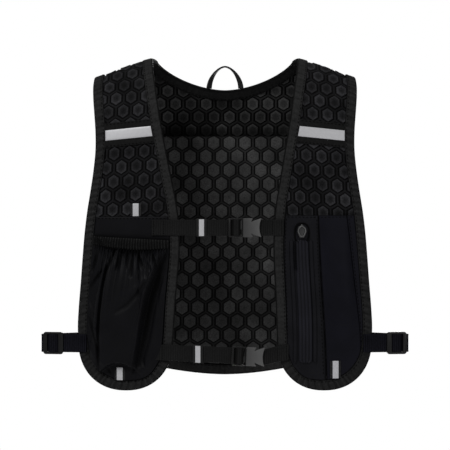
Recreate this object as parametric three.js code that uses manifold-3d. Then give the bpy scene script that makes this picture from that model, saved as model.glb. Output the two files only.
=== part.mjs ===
// A running hydration vest in the shape it has when worn: two mesh fronts, a mesh back with a bladder sleeve,
// a bottle pocket, a zipped pocket, two chest straps and two side straps.
// Millimetres, +Z up, -Y to the front. The origin is the shoulder seat, under the middle of the shoulders.
import * as THREE from "three";
import { mergeVertices } from "three/addons/utils/BufferGeometryUtils.js";
import Module from "manifold-3d";

const wasm = await Module();
wasm.setup();

// Torso under the vest
const ridgeHeight = 10.4; // ridge of the shoulders at the neck, above the origin
const ridgeFall = 24.5; // fall of the ridge from the neck to the armholes
const ridgeEase = 0.15; // share of that run in which the ridge starts to fall
const rollDrop = 95; // drop in which a shoulder turns from level to upright
const rollReach = 68; // reach of that turn, forward or back
const chestDepth = 86; // torso ahead of the shoulders at the chest
const chestTaper = 0.35; // loss of depth away from the chest
const chestLevel = 0.42; // level of the deepest chest, share of the vest's drop
const bladeDepth = 82; // torso behind the shoulders at the blades
const bladeTaper = 0.4;
const bladeLevel = 0.25;
const torsoHalf = 240; // half width at which the sides of the torso would meet

// Fronts and back, measured on the outer edge of their binding
const neckHalf = 91.3; // half width of the neck opening on the ridge
const openingHalf = 56.7; // half width of the front opening at its narrowest
const armHalf = 161.8; // half width at the armholes
const hipHalf = 184.2; // half width at the hips
const frontDrop = 354.1; // ridge at the neck down to where the rounded front ends begin
const lobeDrop = 63; // height of a rounded front end
const lobePower = 2.2; // squareness of that rounding
const seamBack = 18; // shoulder seam behind the ridge
const necklineDrop = 51.9; // neckline's dip along the back, from the shoulder seam
const necklinePower = 1.83;
const backDrop = 401.8; // ridge at the neck down to the middle of the back's hem
const hemRise = 33.7; // rise of that hem towards the sides
const hemPower = 1.8;
const cornerRise = 12; // extra rise of its rounded corners
const cornerPower = 14;
const backTuck = 9; // back panel's side edges inside those of the fronts

// Cloth and tape
const meshThickness = 3.2;
const bindingWidth = 12.4;
const tapeThickness = 1;
const pocketCloth = 1.1;
const webbingThickness = 1.5;
const stripThickness = 0.6; // reflective strips
const clearance = 0.4; // between pieces that lie on each other

// Bladder sleeve
const sleeveDrop = 95.6; // ridge at the neck down to the sleeve's mouth
const sleeveCloth = 2.4;
const sleeveGape = 9; // how far the sleeve stands off the back
const sleeveFullness = 4; // power by which that falls off to its seams

// Chest bands
const bandDrop = 96.1; // ridge at the neck down to the middle of a band
const bandSlope = 0.1; // rise towards the opening
const bandHeight = 30;
const bandStripHeight = 12.6;

// Pockets
const backingDrop = 202.1; // ridge at the neck down to the bottle pocket's backing
const mouthDrop = 226.7; // and to the bottle pocket's mouth at its middle
const mouthSlope = 0.055; // rise of that mouth towards the side
const elasticHeight = 13;
const elasticThickness = 2;
const gatherCount = 21; // ribs of the gathered elastic
const gatherDepth = 0.9;
const pouchBulge = 20;
const pouchRoundness = 0.8;
const zipDrop = 197.7; // ridge at the neck down to the zipped pocket's top edge
const zipBulge = 5;
const zipBulgeEnd = 0.84; // where that bulge ends, share of the way down the pocket
const placketShare = 0.477; // share of the pocket's width, from the opening
const gussetShare = 0.895; // where its side gusset begins
const zipperStart = 0.19; // edges of the zipper, shares of the pocket's width
const zipperEnd = 0.37;
const zipperDrop = 228.6; // ridge at the neck down to the zipper's closed top
const zipperLength = 153;
const sliderDrop = 217.1; // and to the middle of its slider
const sliderWidth = 9;
const sliderLength = 11;
const sliderHeight = 3;
const sliderCorner = 2;
const pullWidth = 12;
const pullLength = 17;

// Straps and buckles
const chestWebbing = 20; // width
const sideWebbing = 22;
const buckleHeight = 23.4; // across the strap
const ladderLength = 17.8;
const ladderBar = 2.7; // first bar that the strap passes behind
const ladderWindow = 4.4;
const ladderCross = 6; // middle bar that the strap passes over
const ladderExit = 3.6; // window that the strap goes back through
const ladderThickness = 2.6;
const ladderCorner = 2;
const socketLength = 23.2;
const socketThickness = 8;
const socketWaist = 7.4; // half height at the press notches
const notchStart = 12.6; // notch mouth, apex and far side, along the socket
const notchApex = 10.6;
const notchEnd = 20;
const notchFlare = 1; // loss of half height at its far side
const socketHollow = 2.4; // hollow end of the socket
const socketWall = 2; // above and below the prongs
const socketMouth = 1; // webbing in the socket, from the middle of its hollow end
const prongLength = 12;
const prongWidth = 3;
const prongRoot = 2;
const prongRoom = 2; // ahead of the prongs
const guideWidth = 4.4;
const guideShort = 1; // guide shorter than the prongs
const keeperWidth = 12.6;
const keeperStripWidth = 6.4;
const tailPast = 8; // strap's tail beyond its keeper
const bendLead = 0.5; // webbing climbs to a bar this far short of it
const bendRun = 0.9; // and starts down this far past it
const bendRise = 1.2; // turn back under the bar, above the tail
const bendBack = 0.3; // and short of where it starts down
const flatEnd = 6; // webbing lies flat up to this far from a ladder
const planeEnd = 4; // webbing is straight across up to this far from a buckle
const socketLead = 3; // level webbing past a socket
const socketFall = 8; // run in which it then comes down to the cloth
const lockLength = 27; // side strap's ladder lock
const lockHeight = 28;
const lockBars = { inner: 6.6, rise: 4.4, middle: 6.4, fall: 4.6 };
const lockThickness = 2.6;
const lockCorner = 3.2;
const lockReach = 202.4; // centre of the vest out to the lock
const turnReach = 4; // side strap's turn beyond the lock
const turnRadius = 2.4;
const lockFall = 1.4; // run in which the webbing comes off the lock's middle bar
const seamPast = 1; // strap's ends short of the binding's inner edge
const backEase = 3; // strap comes down on the back this far outside its edge

// Hang loop and small reflective tabs
const loopHalf = 20.4;
const loopHeight = 26.5;
const loopPower = 1.75;
const loopTape = 9;
const loopThickness = 1.6;
const tabWidth = 13.5;
const tabLength = 16;
const tabStripWidth = 7.4;

// Colours
const colours = {
  mesh: 0x17171a,
  binding: 0x1d1d1f,
  cloth: 0x111114,
  zipCloth: 0x12111a,
  webbing: 0x141416,
  plastic: 0x454548,
  strip: 0xaeaeb4,
};

// Panel edges
// along: share of the way from the shoulder ridge down to the rounded end
// opening: share of the way from the neck's half width in to the opening's; zipOpening the same, zip side
// side: share of the way from the armhole's half width out to the hip's
const seamRow = { opening: 0.17, zipOpening: 0.17, side: 0.08 };
const frontRows = [
  { along: 0.0, opening: 0.0, zipOpening: 0.0, side: 0.12 },
  { along: 0.05, opening: 0.0, zipOpening: 0.0, side: 0.15 },
  { along: 0.1, opening: 0.03, zipOpening: 0.03, side: 0.18 },
  { along: 0.16, opening: 0.1, zipOpening: 0.1, side: 0.15 },
  { along: 0.22, opening: 0.19, zipOpening: 0.19, side: 0.08 },
  { along: 0.28, opening: 0.29, zipOpening: 0.28, side: 0.01 },
  { along: 0.35, opening: 0.43, zipOpening: 0.41, side: 0.0 },
  { along: 0.42, opening: 0.58, zipOpening: 0.54, side: 0.11 },
  { along: 0.49, opening: 0.74, zipOpening: 0.67, side: 0.28 },
  { along: 0.56, opening: 0.89, zipOpening: 0.8, side: 0.47 },
  { along: 0.63, opening: 0.98, zipOpening: 0.87, side: 0.61 },
  { along: 0.71, opening: 1.0, zipOpening: 0.89, side: 0.72 },
  { along: 0.8, opening: 0.93, zipOpening: 0.85, side: 0.83 },
  { along: 0.89, opening: 0.84, zipOpening: 0.8, side: 0.95 },
  { along: 0.95, opening: 0.8, zipOpening: 0.78, side: 1.0 },
  { along: 1.0, opening: 0.76, zipOpening: 0.76, side: 0.98 },
];
// Puller's outline: shares of its width and length from its middle
const pullOutline = [[0, 0.5], [0.42, 0.22], [0.5, -0.05], [0.22, -0.5], [-0.22, -0.5], [-0.5, -0.05], [-0.42, 0.22]];
// Zipped pocket's pieces: edges as shares of its width, columns of facets, and bulge
const zipPieces = {
  zip_placket: { from: 0, to: placketShare, columns: 4, bulge: 0, kind: "cloth" },
  zip_pocket_front: { from: placketShare, to: gussetShare, columns: 6, bulge: zipBulge, kind: "zipCloth" },
  zip_pocket_gusset: { from: gussetShare, to: 1, columns: 2, bulge: 0, kind: "cloth" },
};
// Back panel's side edge: along its length, out from its narrowest half width to its widest
const backRows = [
  { along: 0.03, side: 0.6 },
  { along: 0.09, side: 0.42 },
  { along: 0.16, side: 0.2 },
  { along: 0.22, side: 0.08 },
  { along: 0.28, side: 0.0 },
  { along: 0.37, side: 0.0 },
  { along: 0.46, side: 0.27 },
  { along: 0.56, side: 0.56 },
  { along: 0.67, side: 0.86 },
  { along: 0.81, side: 1.0 },
  { along: 0.92, side: 0.95 },
  { along: 1.0, side: 0.67 },
];
// Bottle pocket: folds that bound its bulge, shares of the width from the opening, and share of the bulge
const pouchRows = [
  { down: 0.0, inner: 0.03, outer: 0.93, bulge: 0.4 },
  { down: 0.1, inner: 0.07, outer: 0.82, bulge: 0.5 },
  { down: 0.24, inner: 0.16, outer: 0.78, bulge: 0.82 },
  { down: 0.4, inner: 0.26, outer: 0.775, bulge: 0.98 },
  { down: 0.56, inner: 0.29, outer: 0.78, bulge: 1.0 },
  { down: 0.7, inner: 0.3, outer: 0.78, bulge: 0.86 },
  { down: 0.81, inner: 0.32, outer: 0.77, bulge: 0.55 },
  { down: 0.91, inner: 0.36, outer: 0.74, bulge: 0.0 },
  { down: 1.0, inner: 0.4, outer: 0.7, bulge: 0.0 },
];
const upperStrapDrop = 213.1; // ridge at the neck down to the upper chest strap
const lowerStrapFall = 14; // lower chest strap below where the rounded front ends begin
const sideStrapFall = 4.2; // and the side straps
const sideDrop = frontDrop + sideStrapFall;
// Chest straps. drop: ridge at the neck down to the strap. start, end: the sewn ends, as far outside the
// opening's narrowest half width as the numbers say. junction: where the buckle's halves meet, and keeper: the
// keeper's middle, from the middle of the vest. sag: at the buckle.
const straps = {
  upper: {
    drop: upperStrapDrop,
    start: -openingHalf - 34.3,
    end: openingHalf + 16.3,
    junction: 21.8,
    sag: 0,
    keeper: -29,
  },
  lower: {
    drop: frontDrop + lowerStrapFall,
    start: -openingHalf - 35.8,
    end: openingHalf + 22.3,
    junction: 25.8,
    sag: 5,
    keeper: -33.5,
  },
};
// Small tabs: distance from the middle of the vest, and the ridge at the neck down to their middle, which
// follows the bottle pocket's backing or the lowest point of the fronts
const tabs = {
  top: { x: 111, drop: backingDrop - 14.1 },
  bottle: { x: 130.5, drop: frontDrop + lobeDrop - 21.5 },
  zip: { x: 137.5, drop: frontDrop + lobeDrop - 24 },
};

// Facets along each kind of curve
const lobeSteps = 10;
const seamSteps = 5;
const necklineSteps = 12;
const hemSteps = 2 * seamSteps + necklineSteps;
const pouchSteps = 8;
const edgeSteps = 16;
const sleeveSteps = 20;
const downSteps = 12;
const bandAcross = 8;
const bandDown = 4;
const zipperSteps = 8;
const loopSteps = 14;
const turnSteps = 5;
const cornerSteps = 3;
const lieSteps = 4;
const leastStep = 1; // shortest facet kept below a cut

// Torso surface: x across, q along the cloth from the ridge, forward when positive
const bodyDrop = frontDrop + lobeDrop;
const rollSteps = 90;
const roll = rollTable();
const seatLift = meshThickness / 2 + clearance;

// The turn of a shoulder is a quarter ellipse, and its length is summed in small steps.
function rollTable() {
  const rows = [{ turn: 0, drop: 0, length: 0 }];
  for (let i = 1; i <= rollSteps; i++) {
    const turn = (Math.PI / 2) * (i / rollSteps);
    const drop = rollDrop * (1 - Math.cos(turn));
    const before = rows[i - 1];
    const reach = rollReach * (Math.sin(turn) - Math.sin(before.turn));
    rows.push({ turn, drop, length: before.length + Math.hypot(reach, drop - before.drop) });
  }
  return rows;
}

function between(rows, key, value, wanted) {
  let i = 1;
  while (i < rows.length - 1 && rows[i][key] < value) i++;
  const from = rows[i - 1];
  const share = (value - from[key]) / (rows[i][key] - from[key]);
  return from[wanted] + (rows[i][wanted] - from[wanted]) * share;
}

function dropAt(length) {
  const last = roll[rollSteps];
  return length < last.length ? between(roll, "length", length, "drop") : rollDrop + length - last.length;
}

function lengthAt(drop) {
  if (drop <= 0) return 0;
  return drop < rollDrop ? between(roll, "drop", drop, "length") : roll[rollSteps].length + drop - rollDrop;
}

function turnAt(length) {
  return length < roll[rollSteps].length ? between(roll, "length", length, "turn") : Math.PI / 2;
}

function ridgeAt(x) {
  const share = (Math.abs(x) - neckHalf) / (armHalf - neckHalf);
  const eased = (share + ridgeEase) ** 2 / (4 * ridgeEase);
  return ridgeHeight - ridgeFall * (share < -ridgeEase ? 0 : share < ridgeEase ? eased : share);
}

function heightAt(x, q) {
  return ridgeAt(x) - dropAt(Math.abs(q));
}

function frontAt(x, z) {
  return { x, q: lengthAt(ridgeAt(x) - z) };
}

function backAt(x, z) {
  return { x, q: -lengthAt(ridgeAt(x) - z) };
}

function surface(x, q) {
  const z = heightAt(x, q);
  const level = (ridgeHeight - z) / bodyDrop;
  const front = -chestDepth * (1 - chestTaper * (level - chestLevel) ** 2);
  const back = bladeDepth * (1 - bladeTaper * (level - bladeLevel) ** 2);
  const narrowing = Math.sqrt(1 - (x / torsoHalf) ** 2);
  return new THREE.Vector3(x, (q > 0 ? front : back) * narrowing * Math.sin(turnAt(Math.abs(q))), z);
}

function normalAt(x, q) {
  const step = 0.5;
  const across = surface(x + step, q).sub(surface(x - step, q));
  const along = surface(x, q + step).sub(surface(x, q - step));
  return along.cross(across).normalize();
}

function lifted(x, q, lift) {
  return surface(x, q).addScaledVector(normalAt(x, q), lift);
}

// Closed bodies
function closed(points, faces) {
  let sixfold = 0;
  for (const [a, b, c] of faces) sixfold += points[a].dot(points[b].clone().cross(points[c]));
  const turned = sixfold < 0 ? faces.map(([a, b, c]) => [a, c, b]) : faces;
  return new THREE.BufferGeometry()
    .setAttribute("position", new THREE.Float32BufferAttribute(points.flatMap((p) => p.toArray()), 3))
    .setIndex(turned.flat());
}

// A sheet over a grid of surface points, between two lifts. Points that coincide are joined.
function sheet(grid, low, high, side = 1) {
  const cells = [];
  const known = new Map();
  const number = (cell) => {
    const key = `${cell.x.toFixed(3)} ${cell.q.toFixed(3)}`;
    if (!known.has(key)) {
      known.set(key, cells.length);
      cells.push(cell);
    }
    return known.get(key);
  };
  const ids = grid.map((row) => row.map(number));
  const top = [];
  const add = (a, b, c) => a !== b && b !== c && a !== c && top.push([a, b, c]);
  for (let i = 0; i < ids.length - 1; i++)
    for (let j = 0; j < ids[i].length - 1; j++) {
      add(ids[i][j], ids[i + 1][j], ids[i + 1][j + 1]);
      add(ids[i][j], ids[i + 1][j + 1], ids[i][j + 1]);
    }
  const edges = top.flatMap(([a, b, c]) => [[a, b], [b, c], [c, a]]);
  const used = new Set(edges.map(([a, b]) => `${a} ${b}`));
  const rim = edges.filter(([a, b]) => !used.has(`${b} ${a}`));
  const n = cells.length;
  const faces = [
    ...top,
    ...top.map(([a, b, c]) => [a + n, c + n, b + n]),
    ...rim.flatMap(([a, b]) => [[b, a, a + n], [b, a + n, b + n]]),
  ];
  const place = (lift) => cells.map((c) => lifted(side * c.x, c.q, lift + (c.lift ?? 0)));
  return closed([...place(high), ...place(low)], faces);
}

// A body through rings of points. A ring that isn't joined to the first is capped by the given quads.
// The quads of the band named by crossed are split along their other diagonal.
function loft(rings, joined, caps = [[0, 1, 2, 3]], crossed = -1) {
  const size = rings[0].length;
  const faces = [];
  const last = joined ? rings.length : rings.length - 1;
  for (let i = 0; i < last; i++)
    for (let k = 0; k < size; k++) {
      const a = i * size + k;
      const b = i * size + ((k + 1) % size);
      const c = ((i + 1) % rings.length) * size + ((k + 1) % size);
      const d = ((i + 1) % rings.length) * size + k;
      if (k === crossed) faces.push([a, b, d], [b, c, d]);
      else faces.push([a, b, c], [a, c, d]);
    }
  if (!joined)
    for (const [a, b, c, d] of caps) {
      const end = (rings.length - 1) * size;
      faces.push([a, c, b], [a, d, c], [end + a, end + b, end + c], [end + a, end + c, end + d]);
    }
  return closed(rings.flat(), faces);
}

// Lines of surface points
function mix(from, to, share) {
  return { x: from.x + (to.x - from.x) * share, q: from.q + (to.q - from.q) * share };
}

// The same line moved sideways, to the left of its direction. Its ends stay on the seam they start from.
function inset(line, distance) {
  return line.map((point, i) => {
    const before = line[Math.max(i - 1, 0)];
    const after = line[Math.min(i + 1, line.length - 1)];
    let x = after.q - before.q;
    let q = before.x - after.x;
    if (i === 0 || i === line.length - 1) q = 0;
    const size = Math.hypot(x, q);
    return { x: point.x + (x / size) * distance, q: point.q + (q / size) * distance };
  });
}

function byIndex(line, share) {
  const place = share * (line.length - 1);
  const i = Math.min(Math.floor(place), line.length - 2);
  return mix(line[i], line[i + 1], place - i);
}

function byLength(line, share) {
  const lengths = line.slice(1).map((p, i) => Math.hypot(p.x - line[i].x, p.q - line[i].q));
  let left = share * lengths.reduce((sum, length) => sum + length, 0);
  let i = 0;
  while (i < lengths.length - 1 && left > lengths[i]) left -= lengths[i++];
  return mix(line[i], line[i + 1], left / lengths[i]);
}

// A patch between four lines: the two ruled surfaces added, less the flat one through the corners.
function patch({ top, bottom, left, right }, downs, acrosses, pick) {
  return downs.map((v, i) =>
    acrosses.map((across) => {
      const u = Array.isArray(across) ? across[i] : across;
      const sides = mix(pick(left, v), pick(right, v), u);
      const ends = mix(pick(top, u), pick(bottom, u), v);
      const corners = mix(mix(top[0], top.at(-1), u), mix(bottom[0], bottom.at(-1), u), v);
      return { x: sides.x + ends.x - corners.x, q: sides.q + ends.q - corners.q };
    }),
  );
}

function steps(count) {
  return Array.from({ length: count + 1 }, (_, i) => i / count);
}

function power(value, exponent) {
  return Math.sign(value) * Math.abs(value) ** (2 / exponent);
}

// Outline of a front: down the opening, round the end, up the side
function frontOutline(opening) {
  const openAt = (row) => neckHalf - (neckHalf - openingHalf) * row[opening];
  const sideAt = (row) => armHalf + (hipHalf - armHalf) * row.side;
  const lowest = ridgeHeight - frontDrop;
  const lastRow = frontRows.at(-1);
  const openLength = frontAt(openAt(lastRow), lowest).q;
  const sideLength = frontAt(sideAt(lastRow), lowest).q;
  const openLine = [
    { x: openAt(seamRow), q: -seamBack },
    ...frontRows.map((row) => ({ x: openAt(row), q: row.along * openLength })),
  ];
  const sideLine = [
    { x: sideAt(seamRow), q: -seamBack },
    ...frontRows.map((row) => ({ x: sideAt(row), q: row.along * sideLength })),
  ];
  const middle = (openAt(lastRow) + sideAt(lastRow)) / 2;
  const reach = (sideAt(lastRow) - openAt(lastRow)) / 2;
  const lobe = steps(lobeSteps).slice(1, -1).map((share) => {
    const turn = Math.PI * share;
    const x = middle - reach * power(Math.cos(turn), lobePower);
    return frontAt(x, lowest - lobeDrop * power(Math.sin(turn), lobePower));
  });
  return [...openLine, ...lobe, ...sideLine.reverse()];
}

// The parts of such an outline, moved in by a distance
function frontLines(opening, distance) {
  const line = inset(frontOutline(opening), distance);
  const rows = frontRows.length;
  return {
    left: line.slice(0, rows + 1),
    bottom: line.slice(rows, rows + lobeSteps + 1),
    right: line.slice(rows + lobeSteps).reverse(),
  };
}

function seamLine(from, to, count) {
  return steps(count).map((share) => mix(from, to, share));
}

// A panel's own grid: the patch inside its binding, with a ring out to its cut edge
function ringed(inner, outer) {
  const { top, bottom, left, right } = outer;
  const rows = inner.map((row, i) => [left[i], ...row, right[i]]);
  return [[left[0], ...top, right[0]], ...rows, [bottom[0], ...bottom, bottom.at(-1)]];
}

function clampSeam(grid, sign) {
  const edge = -seamBack + (sign * clearance) / 2;
  const keep = sign > 0 ? Math.max : Math.min;
  return grid.map((row) => row.map((cell) => ({ ...cell, q: keep(cell.q, edge) })));
}

function frontPanel(opening, side) {
  const lines = frontLines(opening, bindingWidth);
  const cut = frontLines(opening, tapeThickness + clearance);
  const top = seamLine(lines.left[0], lines.right[0], lobeSteps);
  const inner = patch({ ...lines, top }, steps(frontRows.length), steps(lobeSteps), byIndex);
  const grid = ringed(inner, { ...cut, top });
  return sheet(clampSeam(grid, 1), -meshThickness / 2, meshThickness / 2, side);
}

// Binding folded over a cut edge, its profile a U. Its inner quads are split as those of the panel in it.
function binding(line, side, sign, crossed = 4) {
  const inside = meshThickness / 2 + clearance;
  const outside = inside + tapeThickness;
  const [outer, inner, hem] = [0, tapeThickness, bindingWidth].map(
    (distance) => clampSeam([inset(line, distance)], sign)[0],
  );
  const rings = line.map((_, i) => [
    [hem, outside], [outer, outside], [outer, -outside], [hem, -outside],
    [hem, -inside], [inner, -inside], [inner, inside], [hem, inside],
  ].map(([points, lift]) => lifted(side * points[i].x, points[i].q, lift)));
  return loft(rings, false, [[0, 1, 6, 7], [1, 2, 5, 6], [2, 3, 4, 5]], crossed);
}

// Outline of the back: the neckline from side to side, and the edge down one side, along the hem and up
function neckline() {
  const half = neckHalf - (neckHalf - openingHalf) * seamRow.opening;
  return steps(necklineSteps).map((share) => {
    const turn = Math.PI * share;
    const x = -half * power(Math.cos(turn), necklinePower);
    return { x, q: -seamBack - necklineDrop * power(Math.sin(turn), necklinePower) };
  });
}

function backOutline() {
  const seamHalf = armHalf + (hipHalf - armHalf) * seamRow.side;
  const narrow = armHalf - backTuck;
  const wide = hipHalf - backTuck;
  const hemHalf = narrow + (wide - narrow) * backRows.at(-1).side;
  const hemAt = (x) => {
    const share = Math.abs(x) / hemHalf;
    return ridgeHeight - backDrop + hemRise * share ** hemPower + cornerRise * share ** cornerPower;
  };
  const length = -seamBack - backAt(hemHalf, hemAt(hemHalf)).q;
  const down = [
    { x: seamHalf, q: -seamBack },
    ...backRows.map((row) => ({ x: narrow + (wide - narrow) * row.side, q: -seamBack - row.along * length })),
  ];
  const hem = steps(hemSteps).slice(1, -1).map((share) => {
    const x = hemHalf * Math.cos(Math.PI * share);
    return backAt(x, hemAt(x));
  });
  const up = down.map(({ x, q }) => ({ x: -x, q })).reverse();
  return [...down, ...hem, ...up];
}

function backLines(distance) {
  const line = inset(backOutline(), distance);
  const rows = backRows.length;
  return {
    right: line.slice(0, rows + 1),
    bottom: line.slice(rows, rows + hemSteps + 1).reverse(),
    left: line.slice(rows + hemSteps).reverse(),
  };
}

function backPanel() {
  const lines = backLines(bindingWidth);
  const cut = backLines(tapeThickness + clearance);
  const neck = inset(neckline(), bindingWidth);
  const cutNeck = inset(neckline(), tapeThickness + clearance);
  const seams = [
    seamLine(lines.left[0], neck[0], seamSteps).slice(0, -1),
    seamLine(neck.at(-1), lines.right[0], seamSteps).slice(1),
  ];
  const top = [...seams[0], ...neck, ...seams[1]];
  const cutTop = [...seams[0], ...cutNeck, ...seams[1]];
  const inner = patch({ ...lines, top }, steps(backRows.length), steps(hemSteps), byIndex);
  const grid = ringed(inner, { ...cut, top: cutTop });
  grid.forEach((row) => row.reverse());
  return sheet(clampSeam(grid, -1), -meshThickness / 2, meshThickness / 2);
}

// Where a line meets an edge given as a height over x
function crossing(line, edge) {
  const over = line.map((p) => heightAt(p.x, p.q) - edge(p.x));
  const i = line.findIndex((p, k) => k > 0 && over[k] <= 0 && over[k - 1] > 0);
  return mix(line[i - 1], line[i], over[i - 1] / (over[i - 1] - over[i]));
}

function below(line, edge) {
  const start = crossing(line, edge);
  return [start, ...line.filter((p) => Math.abs(p.q) > Math.abs(start.q) + leastStep)];
}

function edgeLine(from, to, edge, at, count = edgeSteps) {
  return steps(count).map((share) => {
    const x = from.x + (to.x - from.x) * share;
    return at(x, edge(x));
  });
}

// Area of a front inside its binding, from an upper edge down to the rounded end
function lowerFront(opening, edge) {
  const lines = frontLines(opening, bindingWidth + clearance);
  const left = below(lines.left, edge);
  const right = below(lines.right, edge);
  return { left, right, top: edgeLine(left[0], right[0], edge, frontAt), bottom: lines.bottom };
}

// A band across a front, from binding to binding
function bandOnFront(opening, middle, height, trim) {
  const lines = frontLines(opening, bindingWidth + trim);
  return steps(bandDown).map((share) => {
    const edge = (x) => middle(x) + height * (0.5 - share);
    return edgeLine(crossing(lines.left, edge), crossing(lines.right, edge), edge, frontAt, bandAcross);
  });
}

// Bladder sleeve: a second layer inside the back, open at its upper edge
function bladderSleeve() {
  const lines = backLines(bindingWidth + 3 * clearance);
  const edge = () => ridgeHeight - sleeveDrop;
  const left = below(lines.left, edge);
  const right = below(lines.right, edge);
  const top = edgeLine(left[0], right[0], edge, backAt, sleeveSteps);
  const sides = { left, right, top, bottom: lines.bottom };
  const grid = patch(sides, steps(downSteps), steps(sleeveSteps), byLength);
  const rows = grid.length - 1;
  grid.forEach((row, i) => row.forEach((cell, j) => {
    const across = (2 * j) / (row.length - 1) - 1;
    cell.lift = -sleeveGape * (1 - across ** sleeveFullness) * (1 - (i / rows) ** sleeveFullness);
  }));
  return sheet(grid, -seatLift - sleeveCloth, -seatLift);
}

// Bottle pocket
const pouchLift = seatLift + pocketCloth + clearance;

function pouchShape(down) {
  return ["inner", "outer", "bulge"].map((key) => between(pouchRows, "down", down, key));
}

function pouchArea() {
  const middle = (armHalf + openingHalf) / 2;
  return lowerFront("opening", (x) => ridgeHeight - mouthDrop + mouthSlope * (Math.abs(x) - middle));
}

function pouchLiftAt(down, across) {
  const [inner, outer, bulge] = pouchShape(down);
  const share = (across - inner) / (outer - inner);
  return share <= 0 || share >= 1 ? 0 : pouchBulge * bulge * Math.sin(Math.PI * share) ** pouchRoundness;
}

function pouchGrid(downs, count) {
  const inside = steps(count);
  const columns = [
    downs.map(() => 0),
    ...inside.map((share) => downs.map((down) => {
      const [inner, outer] = pouchShape(down);
      return inner + (outer - inner) * share;
    })),
    downs.map(() => 1),
  ];
  const grid = patch(pouchArea(), downs, columns, byLength);
  grid.forEach((row, i) => row.forEach((cell, j) => {
    cell.lift = pouchLiftAt(downs[i], columns[j][i]);
  }));
  return grid;
}

function elasticShare() {
  const { left } = pouchArea();
  const start = heightAt(left[0].x, left[0].q);
  return elasticHeight / (start - (ridgeHeight - bodyDrop + bindingWidth));
}

function bottlePocket() {
  const start = elasticShare() * (1 + clearance / elasticHeight);
  const downs = [start, ...pouchRows.map((row) => row.down).filter((down) => down > start)];
  return sheet(pouchGrid(downs, pouchSteps), pouchLift, pouchLift + pocketCloth, -1);
}

function pocketElastic() {
  const grid = pouchGrid([0, elasticShare() / 2, elasticShare()], 2 * gatherCount);
  grid.forEach((row) => row.forEach((cell, j) => {
    if (j % 2 === 0 && j > 0 && j < row.length - 1) cell.lift += gatherDepth;
  }));
  return sheet(grid, pouchLift, pouchLift + elasticThickness, -1);
}

// Zipped pocket: placket, front and gusset side by side
function zipArea() {
  return lowerFront("zipOpening", () => ridgeHeight - zipDrop);
}

function zipPiece({ from, to, columns, bulge }) {
  const wide = hipHalf - openingHalf - 2 * bindingWidth;
  const half = clearance / 2 / wide;
  const low = from > 0 ? from + half : 0;
  const high = to < 1 ? to - half : 1;
  const acrosses = steps(columns).map((share) => low + (high - low) * share);
  const grid = patch(zipArea(), steps(downSteps), acrosses, byLength);
  grid.forEach((row, i) => row.forEach((cell, j) => {
    const down = Math.min(1, i / downSteps / zipBulgeEnd);
    cell.lift = bulge * Math.sin(Math.PI * down) * Math.sin((Math.PI * j) / columns);
  }));
  return sheet(grid, seatLift, seatLift + pocketCloth);
}

// Places over the front in the zipped pocket's own shares, straight down from where the round end begins
function onZip(across, z) {
  const { left, right } = frontLines("zipOpening", bindingWidth + clearance);
  const lowest = Math.max(...[left, right].map((line) => heightAt(line.at(-1).x, line.at(-1).q)));
  const edge = () => Math.max(z, lowest + clearance);
  return mix(crossing(left, edge), crossing(right, edge), across);
}

function zipperTape() {
  const grid = steps(zipperSteps).map((down) =>
    steps(2).map((share) => {
      const z = ridgeHeight - zipperDrop - zipperLength * down;
      const { x } = onZip(zipperStart + (zipperEnd - zipperStart) * share, z);
      return frontAt(x, z);
    }),
  );
  const lift = seatLift + pocketCloth + clearance;
  return sheet(grid, lift, lift + tapeThickness);
}

// Bodies built flat and set on the surface: x across, y up the cloth, z outwards
function frameAt(x, z, lift, tilt = 0) {
  const { q } = frontAt(x, z);
  const out = normalAt(x, q);
  const across = new THREE.Vector3(1, 0, 0).addScaledVector(out, -out.x).normalize();
  const up = out.clone().cross(across);
  const turned = across.clone().applyAxisAngle(out, tilt);
  return new THREE.Matrix4()
    .makeBasis(turned, up.applyAxisAngle(out, tilt), out)
    .setPosition(lifted(x, q, lift));
}

function flat(outline, depth) {
  const shape = new THREE.Shape(outline.map(([x, y]) => new THREE.Vector2(x, y)));
  return new THREE.ExtrudeGeometry(shape, { depth, bevelEnabled: false }).translate(0, 0, -depth / 2);
}

function pierced(outline, holes, depth) {
  const cuts = holes.map((hole) => solidOf(flat(hole, 2 * depth)));
  return geometryOf(cuts.reduce((body, cut) => body.subtract(cut), solidOf(flat(outline, depth))));
}

function rectangle(left, right, low, high) {
  return [[left, low], [right, low], [right, high], [left, high]];
}

function roundedRectangle(width, height, radius) {
  const points = [];
  for (let corner = 0; corner < 4; corner++) {
    const cx = (corner === 0 || corner === 3 ? 1 : -1) * (width / 2 - radius);
    const cy = (corner < 2 ? 1 : -1) * (height / 2 - radius);
    for (const share of steps(cornerSteps)) {
      const turn = ((corner + share) * Math.PI) / 2;
      points.push([cx + radius * Math.cos(turn), cy + radius * Math.sin(turn)]);
    }
  }
  return points;
}

function solidOf(geometry) {
  const bare = geometry.index ? geometry.toNonIndexed() : geometry.clone();
  bare.deleteAttribute("normal");
  bare.deleteAttribute("uv");
  const merged = mergeVertices(bare, 1e-4);
  return new wasm.Manifold(new wasm.Mesh({
    numProp: 3,
    vertProperties: merged.attributes.position.array,
    triVerts: new Uint32Array(merged.index.array),
  }));
}

function geometryOf(solid) {
  const mesh = solid.getMesh();
  return new THREE.BufferGeometry()
    .setAttribute("position", new THREE.BufferAttribute(new Float32Array(mesh.vertProperties), 3))
    .setIndex(new THREE.BufferAttribute(new Uint32Array(mesh.triVerts), 1));
}

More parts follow.
